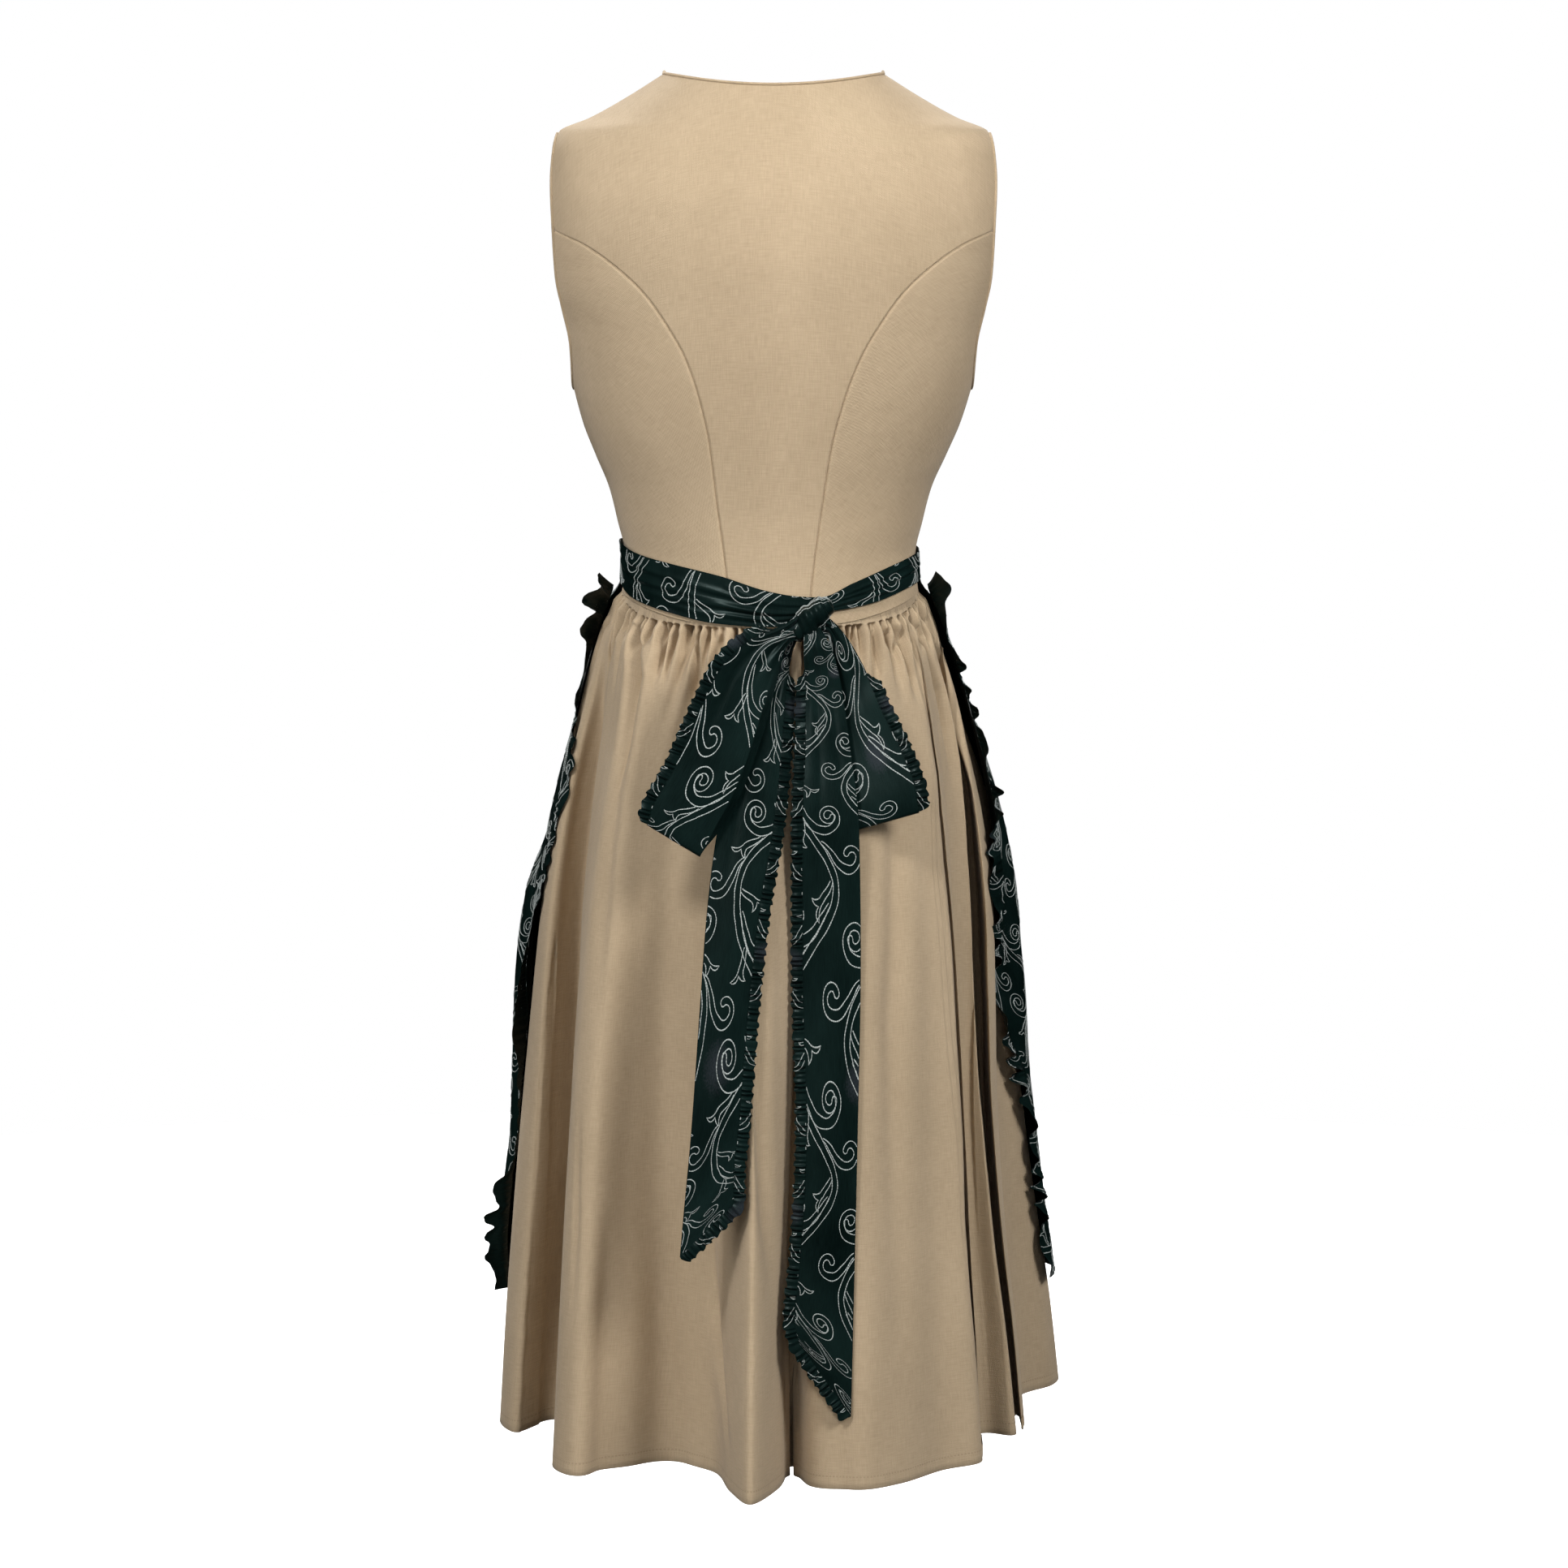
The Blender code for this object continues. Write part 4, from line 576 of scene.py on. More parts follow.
VALLEYS = [
    [(60, 206, 0, 7), (150, 203.5, 3, 9), (275, 198, 3.5, 10), (690, 196.5, 3, 12), (1000, 201.8, 3, 12)],
    [(6, 190, 0, 3), (40, 180, 1.6, 3.5), (110, 172, 0, 4.5)],
    [(10, 162, 0, 4), (32, 150, 6, 5.5), (65, 137.5, 6.5, 6.5), (100, 136, 4.5, 6.5), (200, 133, 2.2, 8),
     (330, 128, 2.2, 11), (500, 124, 0, 14)],
    [(30, 143, 0, 1.4), (71, 131, 1, 1.5), (160, 134, 0.9, 1.5), (222, 135, 0, 1.5)],
    [(4, 118, 0, 2.2), (14, 116.5, 3.4, 2.6), (40, 115, 3.2, 3.6), (90, 117, 0, 5)],
    [(4, 100, 0, 2), (14, 98.5, 2.2, 2.4), (50, 101, 0, 4)],
    [(4, 80, 0, 2.4), (20, 80.5, 4.2, 3.2), (50, 88, 3.8, 4.8), (120, 96, 0, 6.5)],
    [(4, 64, 0, 2.2), (19, 65.5, 5.2, 3), (52, 69, 5.2, 4.2), (90, 76, 3.5, 5.5), (200, 86, 0, 8)],
    [(4, 50, 0, 2.4), (20, 51.5, 4.4, 3.2), (60, 56, 3, 5), (150, 64, 0, 8)],
    [(4, 33, 0, 2.4), (20, 34, 4, 3.2), (70, 37, 3.6, 5), (240, 43, 0, 8)],
    [(4, 12, 0, 2.4), (30, 11, 4, 4), (120, 6, 3.6, 6), (300, 2, 3, 8), (480, -2.5, 2.6, 9),
     (680, -11, 2.6, 10), (780, -20, 0, 12)],
    [(4, -16, 0, 2.4), (20, -15, 3.6, 3.2), (80, -14, 2.4, 5.5), (180, -13, 0, 8)],
    [(4, -38, 0, 2.4), (24, -39, 3.6, 3.4), (110, -40, 3.6, 5), (210, -42.5, 4, 5.5), (500, -47, 5, 6),
     (690, -43, 6, 6), (790, -42, 9, 5), (890, -48.5, 12, 4.4), (1000, -53, 12, 4.4)],
    [(4, -62, 0, 2.2), (20, -63, 3.2, 3), (100, -66, 0, 6)],
    [(4, -88, 0, 2.4), (26, -88, 4.2, 3.6), (90, -90, 2.6, 6), (190, -94, 0, 9)],
    [(3, -113, 0, 2), (18, -114, 3.4, 2.8), (70, -118, 0, 5.5)],
    [(4, -129, 0, 2.4), (20, -134, 4.6, 3.2), (40, -138.5, 4.4, 4.4), (66, -143, 2, 6), (110, -145, 0, 7)],
    [(2, -144, 0, 2.2), (20, -150, 4.6, 3.2), (45, -156, 5.2, 4.2), (72, -161, 4.4, 4.8),
     (110, -164.5, 0, 6)],
    [(260, -176, 0, 8), (400, -175.5, 3.5, 9), (600, -177, 3.5, 10), (800, -178, 0, 10)],
    [(2, -174, 0, 2.4), (24, -187, 4.6, 3.4), (50, -198, 5.6, 4.2), (107, -212, 4.5, 5),
     (150, -215, 2.4, 5), (240, -213, 0, 6)],
    [(4, -215, 0, 2.4), (30, -223, 4.6, 3.4), (80, -232, 5.6, 4.4), (150, -235, 6.5, 4.4),
     (230, -232, 0, 4.4)],
    [(4, -245, 0, 2.6), (40, -249, 5, 3.6), (120, -254, 4.6, 5), (220, -256, 0, 7)],
    [(100, -121, 0, 9), (234, -123.5, 2.6, 11), (440, -118.5, 3, 12), (600, -118.5, 2.4, 13),
     (800, -119, 1.8, 14), (950, -120, 0, 14)],
    [(560, 134, 0, 2.5), (700, 129.5, 1.4, 3), (830, 127.5, 0, 3.5)],
    [(700, 83, 0, 9), (810, 81, 3.2, 11), (900, 77.5, 3.4, 12), (1000, 75.5, 3, 13)],
    [(680, 112, 0, 8), (800, 111, 3, 10), (1000, 109.5, 3, 12)],
    [(660, 56, 0, 6), (790, 52, 2.4, 9), (880, 40, 3, 10), (970, 22, 0, 10)],
    [(580, -84, 0, 8), (760, -86, 2.2, 11), (1000, -90, 2.6, 13)],
    # the sides and the front, mostly under the apron
    [(3, 234, 0, 2.6), (40, 233, 4.6, 3.8), (130, 236, 5, 5), (320, 241, 0, 8)],
    [(3, 258, 0, 2.6), (50, 260, 4.8, 4.2), (200, 264, 4.6, 6), (420, 262, 0, 9)],
    [(3, 284, 0, 2.6), (30, 285, 4.2, 3.8), (110, 288, 0, 6)],
    [(3, 305, 0, 2.6), (50, 304, 5, 4.2), (180, 301, 4, 6), (360, 299, 0, 9)],
    [(3, 332, 0, 2.6), (40, 333, 4.6, 4), (140, 336, 0, 7)],
    [(3, 357, 0, 2.6), (60, 355, 5.2, 4.4), (240, 353, 4.4, 6.5), (520, 352, 0, 10)],
    [(3, 386, 0, 2.6), (34, 387, 4.4, 3.8), (120, 389, 0, 6.5)],
    [(3, 411, 0, 2.6), (50, 409, 5, 4.4), (200, 406, 4.2, 6), (400, 405, 0, 9)],
    [(3, 440, 0, 2.6), (40, 441, 4.6, 4), (150, 444, 0, 7)],
    [(3, 468, 0, 2.6), (60, 467, 5.2, 4.4), (260, 464, 4.4, 6.5), (560, 462, 0, 10)],
    [(3, 495, 0, 2.6), (36, 496, 4.4, 3.8), (130, 499, 0, 6.5)],
    [(3, 523, 0, 2.6), (50, 524, 5, 4.4), (220, 527, 4.2, 6), (460, 528, 0, 9)],
    [(3, 552, 0, 2.6), (44, 551, 4.6, 4), (150, 549, 0, 7)],
    [(3, 580, 0, 2.6), (60, 582, 5.2, 4.4), (240, 586, 4.4, 6.5), (500, 587, 0, 10)],
    [(3, 609, 0, 2.6), (36, 608, 4.4, 3.8), (130, 606, 0, 6.5)],
    [(3, 636, 0, 2.6), (50, 637, 5, 4.4), (200, 640, 4.2, 6), (440, 641, 0, 9)],
    [(3, 664, 0, 2.6), (40, 663, 4.6, 4), (150, 661, 0, 7)],
    [(3, 688, 0, 2.6), (60, 690, 5.2, 4.4), (240, 694, 4, 6.5), (480, 696, 0, 10)],
    [(3, 714, 0, 2.6), (40, 715, 4.6, 3.8), (160, 717, 0, 6.5)]]


def skirt_girth(drop):
    return between((WAIST_GIRTH, HEM_LENGTH), flare_by_drop(drop))


def skirt_relief(share, drop):
    """How far gathers and folds stand off the skirt's large folds."""
    share, drop = np.broadcast_arrays(share, drop)
    height = np.zeros(share.shape)
    girth = skirt_girth(drop)
    for k in range(GATHERS):
        centre = (k + 0.8 * (uneven(k, 1) - 0.5)) / GATHERS + (uneven(k, 2) - 0.5) * 0.03 * drop
        length = between(GATHER_LENGTHS, uneven(k, 3) ** 2)
        width = between(GATHER_WIDTHS, uneven(k, 4)) * (1 + 0.8 * np.minimum(drop / length, 1.5))
        tucked = TUCKED if uneven(k, 6) > 0.5 else 1.0
        depth = tucked * between(GATHER_DEPTHS, uneven(k, 5)) * ease(drop / 0.004)
        away = apart(share, centre) * girth
        height -= depth * (1 - ease((drop - 0.006) / length)) * np.exp(-(away / width) ** 2)
    for points in VALLEYS:
        down, place, depth, width = 0.001 * np.array(points).T
        depth, width = np.interp(drop, down, depth), np.interp(drop, down, width)
        away = np.abs(apart(share, np.interp(drop, down, place))) * girth / width
        steep = np.clip(2.0 + (depth / width - 1.2) * 1.4, 2.0, 4.0)
        broad = ease((width - 0.006) / 0.004) * (1 - ease((drop - 0.5) / 0.25))
        height -= (1.5 + 0.5 * (1 - ease(drop / 0.25)) + 0.5 * broad) * depth * np.exp(-away ** steep)
        height += np.minimum(0.30 * depth, RIDGE_HEIGHT) * np.exp(-((away - 2.1) / 1.1) ** 2)
    slow = SLOW_HEIGHT * np.sin(2 * math.pi * (9 * share + 1.3 * drop)) * np.sin(math.pi * drop)
    under_bow = np.exp(-((share + 0.012) / 0.050) ** 2)
    fullness = (FULLNESS - LESS_UNDER_BOW * under_bow) * ease(drop / 0.012) * (1 - ease((drop - 0.02) / 0.16))
    return height * ease(drop / 0.004) + fullness + slow


def left_seam(drop):
    """The left side seam hangs a little toward the back below the waist."""
    return np.interp(drop, *LEFT_SEAM_WAY.values())


def right_seam(drop):
    """The right side seam runs down into the deep valley beside the apron."""
    down = np.concatenate([(0.0, 0.10), RIGHT_VALLEY["down"][1:]])
    return np.interp(drop, down, np.concatenate([(RIGHT_SEAM, RIGHT_SEAM), RIGHT_VALLEY["share"][1:]]))


LEFT_DEEP = thousandths("down depth", [(50, 0), (200, 20), (500, 40), (850, 44), (1000, 34)])
LEFT_DEEP_FRONT, LEFT_DEEP_BACK = 0.017, 0.004       # its half widths on either side of the seam


def deep_valleys(share, drop):
    """The valleys that run straight in: two at the right between folds, one at the left under a fold."""
    past_seam = apart(share, left_seam(drop)) * skirt_girth(drop)
    width = np.where(past_seam > 0, LEFT_DEEP_FRONT, LEFT_DEEP_BACK)
    depth = np.interp(drop, *LEFT_DEEP.values()) * np.exp(-(past_seam / width) ** 2)
    for valley, steep in ((RIGHT_VALLEY, 8.0), (THIN_VALLEY, 5.0)):
        down, *others = valley.values()
        place, deep, width = (np.interp(drop, down, other) for other in others)
        depth += deep * np.exp(-np.abs(apart(share, place) * skirt_girth(drop) / width) ** steep)
    return depth


def skirt_columns(first, last, columns):
    """Where a breadth's columns stand, closer together at its seams and beside the thin valley."""
    part = np.linspace(0, 1, 2001)
    thin = (first + (last - first) * part - THIN_SHARE) / 0.008
    at_seams = np.exp(-(part / 0.035) ** 2) + np.exp(-((1 - part) / 0.035) ** 2)
    density = 1 + 1.4 * at_seams + 1.6 * np.exp(-thin ** 2)
    run = np.concatenate([[0], np.cumsum((density[1:] + density[:-1]) / 2)])
    return np.interp(np.linspace(0, run[-1], columns), run, part)


GATHERED_TO = 0.12           # a third of the rows of a gathered breadth lie in this share of its length


def gathered_rows(rows, closeness):
    """How far down a gathered breadth's rows are: closest together at the gathering stitches."""
    upper = GATHERED_TO * np.linspace(0, 1, rows // 3) ** closeness
    return np.concatenate([upper, np.linspace(GATHERED_TO, 1, rows - rows // 3 + 1)[1:]])[:, None]


def skirt_net(first, last, columns, rows):
    """One breadth of the skirt; its first two rows are the seam allowance, up inside the bodice."""
    drop = gathered_rows(rows, 1.5)
    part = skirt_columns(first, last, columns)[None, :]
    first, last = (right_seam(drop), left_seam(drop)) if first < 0 else (left_seam(drop), 1 + right_seam(drop))
    share = first + (last - first) * part
    thin_moves = np.interp(drop, THIN_VALLEY["down"], THIN_VALLEY["share"]) - THIN_SHARE
    share = share + thin_moves * np.exp(-((share - THIN_SHARE) / 0.025) ** 2)
    top = waist_seam(360.0 * share)
    z = top + (HEM_Z - top) * drop
    lift = skirt_relief(share, drop) - 0.0007 * (1 - ease(drop / 0.002))
    plan = skirt_plan(share, z) + skirt_out(share, z) * lift[..., None]
    plan[..., 1] -= deep_valleys(share, drop)
    net = np.concatenate([plan, np.broadcast_to(z, plan.shape[:2])[..., None]], -1)
    allowance = np.repeat(net[:1], 2, 0)
    allowance[..., 2] += np.array([0.006, 0.002])[:, None]
    allowance[..., :2] = torso(360.0 * share[:1], allowance[..., 2], -0.0016)[..., :2]
    return np.concatenate([allowance, net])


TURN_UP = thousandths("inward up", [
    (0.275, -0.36), (0.605, -0.48), (0.935, -0.24), (1.1, 1), (1.1, 5), (0.99, 10)])


def turned_up(net):
    """Adds the turned-up hem: the cloth rounds its lower edge and runs up inside itself."""
    inward = unit(normals(net)[-1] * (-1, -1, 0))
    under = [net[-1] * (1, 1, 0) + inward * way_in + (0, 0, HEM_Z + up) for way_in, up in zip(*TURN_UP.values())]
    return np.concatenate([net, under])


def skirt_cut(net, girth, columns):
    """Flat places: across by the girth at the hem, along by the height over the hem's edge."""
    along = reach(net, 0)
    hem_row = np.argmin(net[:, 0, 2])
    along = np.abs(along - along[hem_row:hem_row + 1])
    return np.stack(np.broadcast_arrays(girth * columns[None, :], along), -1)


PRESSED_DOWN, PRESSED_FADE = 0.16, 0.08       # below this the side seams hang loose
skirt_linen = linen("beige_linen_twill_hemmed", hem=True)
for node, first, last, columns, rows in (("skirt_back", RIGHT_SEAM, LEFT_SEAM, 470, 170),
                                         ("skirt_front", LEFT_SEAM, 1 + RIGHT_SEAM, 440, 150)):
    girth = HEM_LENGTH * (last - first)
    net = skirt_net(first, last, columns, rows)
    low = ease((waist_seam(90.0) - PRESSED_DOWN - net[..., 2:]) / PRESSED_FADE)
    net = turned_up(pressed(net) * (1 - low) + net * low)
    skirt = cloth(node, net, skirt_cut(net, girth, skirt_columns(first, last, columns)), skirt_linen)
    round(girth * SKIRT_CUT_LENGTH * TAPER, 3)

# ---------------------------------------------------------------- apron
# The apron is bottle green satin with a scroll of stems stitched in silvery thread.  It is
# one breadth, gathered by hand into its band, with gathered satin strips down both sides.

band_top, band_bottom = curves(table("turn top bottom", [
    (-180, -0.3600, -0.3930), (-125, -0.3615, -0.3910), (-90, -0.3650, -0.3885), (-70, -0.3690, -0.3912),
    (-55, -0.3740, -0.3962), (-43, -0.3800, -0.4014), (-33, -0.3862, -0.4045), (-19, -0.3960, -0.4085),
    (-10, -0.3950, -0.4165), (0, -0.3915, -0.4182), (20, -0.3796, -0.4160), (40, -0.3722, -0.4090),
    (63, -0.3656, -0.4005), (90, -0.3575, -0.3890), (125, -0.3590, -0.3915), (180, -0.3600, -0.3930)]))
APRON_HEM_Z = -0.968
# The apron's side edges: where they hang, how far they puff out, and how far the ruffles on
# them stand off and wave.
(apron_left, apron_right, puff_left, puff_right,
 stand_left, stand_right, wave_left, wave_right) = curves(thousandths(
     "z left right puff_left puff_right stand_left stand_right wave_left wave_right", [
         (1000 * APRON_HEM_Z, 286, -340, 9, 0, 17, 6, 6.5, 5.5), (-925, 287, -341, 13, 0, 18, 6, 6.5, 6),
         (-875, 289, -341, 10, 0, 12, 5, 6, 7), (-850, 290, -341, 8.5, 0, 3, 5, 1, 7),
         (-800, 292, -333, 11.5, 0, 1, 5, 0.6, 7), (-765, 292, -318, 13.5, 1, 1, 5.5, 0.6, 7),
         (-725, 292.5, -297, 15.5, 2, 1, 7, 0.6, 7), (-690, 292, -279, 16.5, 2, 1, 9, 0.6, 7.5),
         (-645, 289, -266, 15, 3, 1, 12, 0.6, 7.5), (-590, 284, -262, 3, 3, 1, 8, 0.8, 6.5),
         (-500, 274, -272, 0, 3, 2, 4, 2, 5), (-450, 265, -261, 0, 4, 6, 4, 6.5, 6),
         (-415, 262, -260, 0, 2, 16, 13, 7, 6), (-385, 260, -260, 0, 0, 19, 19, 5, 4)]))
BAND_LIFT, APRON_LIFT = 0.0026, 0.0075

SCROLL_WIDTH, SCROLL_HEIGHT = 0.102, 0.134        # one repeat holds two stems, the second one mirrored
FORK_TIPS = (0.0098, 0.0050), (0.0040, 0.0), (0.0040, -0.0066)          # forward of the stem's end, and aside
FORK_HOLLOWS = -0.0016, 0.0022, 0.0010, -0.0008
HALF_MM = 0.0005
TRUNK_SWAY, TRUNK_WIDTHS = (0.0185, 0.0028), (4.8, 4.2, 4.8, 5.2, 4.6, 4.2, 5.0, 4.8)
CURL, SMALL_CURL = (2.0, 4.2, 5.8, 5.2, 4.0, 3.0, 4.0), (1.6, 3.6, 4.8, 3.4, 4.0)
SPRAYS = [
    # name, grows from, how far up it, side, turn in degrees, length, bends, widths in mm, end
    ("curl_a", "trunk", 0.34, 1, 16, 0.085, (-0.3, 0.2, 0.6, 0.9, 1.4, 2.0, 2.5), CURL, "round"),
    ("curl_b", "trunk", 0.84, -1, 18, 0.081, (-0.3, 0.2, 0.7, 1.0, 1.5, 2.0, 2.7), CURL, "round"),
    ("curl_c", "trunk", 0.10, -1, 28, 0.053, (-0.9, 0.0, 1.0, 1.7, 2.3), SMALL_CURL, "round"),
    ("curl_d", "trunk", 0.60, 1, 30, 0.051, (-0.9, 0.1, 1.0, 1.8, 2.4), SMALL_CURL, "round"),
    ("leaf_a", "trunk", 0.24, 1, 42, 0.012, (0.9, 0.4, -0.8), (2.0, 3.4, 3.6), "fork_left"),
    ("leaf_b", "trunk", 0.74, -1, 42, 0.012, (0.6, 0.4, -0.9), (2.0, 3.4, 3.6), "fork_right"),
    ("leaf_c", "curl_a", 0.24, -1, 46, 0.011, (-0.5, 0.4, 0.8), (2.0, 3.4, 4.0), "fork_left"),
    ("leaf_d", "curl_b", 0.34, 1, 42, 0.014, (-0.9, -0.2, 0.8), (2.0, 3.4, 4.0), "fork_right")]

SATIN_DARK, SATIN_LIGHT, SATIN_BLOOM = (0.0016, 0.0044, 0.0040), (0.0062, 0.0168, 0.0152), (0.036, 0.038, 0.048)
SATIN_TINT, THREAD_DARK, THREAD_LIGHT = (0.62, 0.80, 0.77), (0.20, 0.23, 0.22), (0.50, 0.54, 0.52)
BLOOMS = [(0.031, 0.052, 0.013), (0.088, 0.118, 0.010)]       # their places in the repeat, and sizes
THREAD_TWIST, THREAD_WIDTH, THREAD_HEIGHT, THREAD_ROOT = 0.0016, 0.0006, 0.00042, 0.00006
THREAD_WANDER, EDGE_MARGIN = 0.00014, 0.0002


def satin(name):
    """Bottle green satin: smooth long floats, a slow change of tone, and faint worn blooms."""
    look = Finish(name, Specular_IOR_Level=0.18, Specular_Tint=SATIN_TINT)
    across, along = look.cut()
    floats = look.noise(across * 1500.0, along * 120.0, 1.0)
    cloudy = look.noise(across * 22.0, along * 14.0, 3.0)
    speckle = look.noise(across * 1000.0, along * 1000.0, 1.0)
    colour = look.blend(0.42 + cloudy * 1.2 + floats * 0.5, SATIN_DARK, SATIN_LIGHT)
    for across_at, along_at, size in BLOOMS:
        x, y = ((wire + (40.5 * step - at)).through("WRAP", step, 0.0) - step * 0.5 for wire, step, at in (
            (across, SCROLL_WIDTH, across_at), (along, 2 * SCROLL_HEIGHT, along_at)))
        share = (1.0 - (x * x + y * y) * (1 / size ** 2) + cloudy * 1.6 + speckle * 1.4) * 0.45
        colour = look.blend(share.through("MAXIMUM", 0.0).through("MINIMUM", 0.55), colour, SATIN_BLOOM)
    return look.wear(Base_Color=colour, Roughness=0.34 + cloudy * 0.12 + floats * 0.08,
                     Normal=look.relief(floats + speckle * 0.4, 0.00012, 0.5))


def stitching_thread(name):
    """Silvery twisted thread."""
    look = Finish(name, Roughness=0.6, Sheen_Weight=0.1)
    twist = (look.cut()[1] * (2 * math.pi / THREAD_TWIST)).through("SINE")
    return look.wear(Base_Color=look.blend(0.6 + twist * 0.35, THREAD_DARK, THREAD_LIGHT),
                     Normal=look.relief(twist, 0.0002, 0.6))


satin_cloth, silver_thread = satin("bottle_green_satin"), stitching_thread("silver_thread")


def bending_line(start, heading, length, bends):
    """A line that bends by so many radians a centimetre along its way."""
    count = max(10, int(length / 0.0011))
    way, step = np.linspace(0, 1, count), length / (count - 1)
    bend = np.interp(way, np.linspace(0, 1, len(bends)), bends) * 100
    turn = heading + np.concatenate([[0], np.cumsum((bend[1:] + bend[:-1]) / 2)]) * step
    ahead = np.stack([np.cos(turn), np.sin(turn)], -1)
    return start + np.concatenate([[(0, 0)], np.cumsum((ahead[1:] + ahead[:-1]) / 2 * step, 0)])


def outline(line, widths, end):
    """The stitched lines round a stem, with its end: open, round or a forked leaf."""
    ahead = unit(np.gradient(line, axis=0))
    aside = np.stack([-ahead[:, 1], ahead[:, 0]], -1)
    half = np.interp(np.linspace(0, 1, len(line)), np.linspace(0, 1, len(widths)), widths)[:, None] * HALF_MM
    left, right, tip, ahead, aside = line + aside * half, line - aside * half, line[-1], ahead[-1], aside[-1]
    if end == "open":
        return [left, right]
    if end == "round":
        angle = np.linspace(0.5 * math.pi, -0.5 * math.pi, 7)[1:-1, None]
        cap = tip + half[-1] * (np.cos(angle) * ahead + np.sin(angle) * aside)
        return [np.concatenate([left, cap, right[::-1]])]
    way = 1 if end == "fork_left" else -1
    first, last = (left, right)[::way]
    tips = [tip + ahead * forward + aside * way * side for forward, side in FORK_TIPS]
    arcs = []
    for a, b, hollow in zip([first[-1], *tips], [*tips, last[-1]], FORK_HOLLOWS):
        t = np.linspace(0, 1, 7)[1:, None]
        across = way * unit(np.array([-(b - a)[1], (b - a)[0]]))
        arcs.append(a + (b - a) * t + across * hollow * 4 * t * (1 - t))
    return [np.concatenate([first, *arcs, last[::-1]])]


def scroll_repeat():
    """All the stitched lines of one stem, with what grows from it."""
    y = np.linspace(0, SCROLL_HEIGHT, 110)
    wave = 2 * math.pi * y / SCROLL_HEIGHT
    sway = TRUNK_SWAY[0] * np.sin(wave) + TRUNK_SWAY[1] * np.sin(2 * wave + 1.2)
    grown = {"trunk": (np.stack([sway, y], -1), TRUNK_WIDTHS)}
    lines = outline(*grown["trunk"], "open")
    for name, parent, share, side, turn, length, bends, widths, end in SPRAYS:
        line, its_widths = grown[parent]
        i = int(share * (len(line) - 2))
        ahead = line[i + 1] - line[i]
        aside = unit(np.array([-ahead[1], ahead[0]]))
        half = np.interp(share, np.linspace(0, 1, len(its_widths)), its_widths) * HALF_MM
        heading = math.atan2(ahead[1], ahead[0]) + math.radians(turn) * side
        start = line[i] + aside * side * (half + 0.6 * widths[0] * HALF_MM)
        grown[name] = bending_line(start, heading, length, np.array(bends) * side), widths
        if side < 0 and end.startswith("fork"):
            end = {"fork_left": "fork_right", "fork_right": "fork_left"}[end]
        lines += outline(*grown[name], end)
    return lines


scroll = scroll_repeat()


def on_net(net, flat_size, places):
    """The points of a net at places given in the flat cut, from one corner, in metres."""
    rows, columns = net.shape[:2]
    down = np.clip(places[..., 1] / flat_size[1], 0, 1) * (rows - 1)
    along = np.clip(places[..., 0] / flat_size[0], 0, 1) * (columns - 1)
    i, j = np.minimum(down.astype(int), rows - 2), np.minimum(along.astype(int), columns - 2)
    v, u = (down - i)[..., None], (along - j)[..., None]
    return ((net[i, j] * (1 - u) + net[i, j + 1] * u) * (1 - v)
            + (net[i + 1, j] * (1 - u) + net[i + 1, j + 1] * u) * v)


def stitched(name, net, flat_size, offset, step=1):
    """The scroll stitched on a satin piece: low ribs of thread that follow the cloth."""
    net = leaned(net)
    out = normals(net)
    centres, breaks = [], []
    for column in range(-1, int(2 * (offset[0] + flat_size[0]) / SCROLL_WIDTH) + 3):
        for row in range(-2, int((offset[1] + flat_size[1]) / SCROLL_HEIGHT) + 3):
            for line in scroll:
                mirrored, up = ((-1, 1), 0.5 * SCROLL_HEIGHT) if column % 2 else ((1, 1), 0.0)
                corner = column * SCROLL_WIDTH / 2 - offset[0], row * SCROLL_HEIGHT + up - offset[1]
                here = line * mirrored + corner
                here = np.concatenate([here[:-1:step], here[-1:]])
                inside = ((here > EDGE_MARGIN) & (here < np.array(flat_size) - EDGE_MARGIN)).all(-1)
                if inside.sum() > 2:
                    centres.append(here)
                    breaks.append(inside)
    starts = np.cumsum([0] + [len(line) for line in centres])
    ahead = unit(np.concatenate([np.gradient(line, axis=0) for line in centres]))
    aside = np.stack([-ahead[:, 1], ahead[:, 0]], -1)
    inside, centre = np.concatenate(breaks), np.concatenate(centres)
    total, run = len(centre), reach(centre, 0)
    count = np.arange(total)[:, None]
    half = 0.5 * THREAD_WIDTH * (1 + 0.16 * np.sin(count * 1.7) + 0.10 * np.sin(count * 0.53))
    wander = THREAD_WANDER * np.sin(count * 0.61)
    corners, flats = [], []
    for way, height in ((1, THREAD_ROOT), (0, THREAD_HEIGHT), (-1, THREAD_ROOT)):
        places = centre + aside * (half * way + wander)
        corners.append(on_net(net, flat_size, places) + on_net(out, flat_size, places) * height)
        flats.append(np.stack([np.full(total, way * 0.5 * THREAD_WIDTH), run], -1))
    joined = inside[:-1] & inside[1:]
    joined[starts[1:-1] - 1] = False
    first = np.nonzero(joined)[0]
    faces = np.concatenate([np.stack([first, first + 1, first + 1 + total, first + total], -1) + side * total
                            for side in (0, 1)])
    used, faces = np.unique(faces, return_inverse=True)
    faces = faces.reshape(-1, 4)
    points = np.concatenate(corners)
    rise = (points[total:2 * total] - 0.5 * (points[:total] + points[2 * total:]))[used[faces[:, 0]] % total]
    points = points[used]
    first_side = np.cross(points[faces[:, 1]] - points[faces[:, 0]], points[faces[:, 3]] - points[faces[:, 0]])
    if (first_side * rise).sum() < 0:
        faces = faces[:, ::-1]
    return sewn(name, points, faces, np.concatenate(flats)[used], silver_thread)


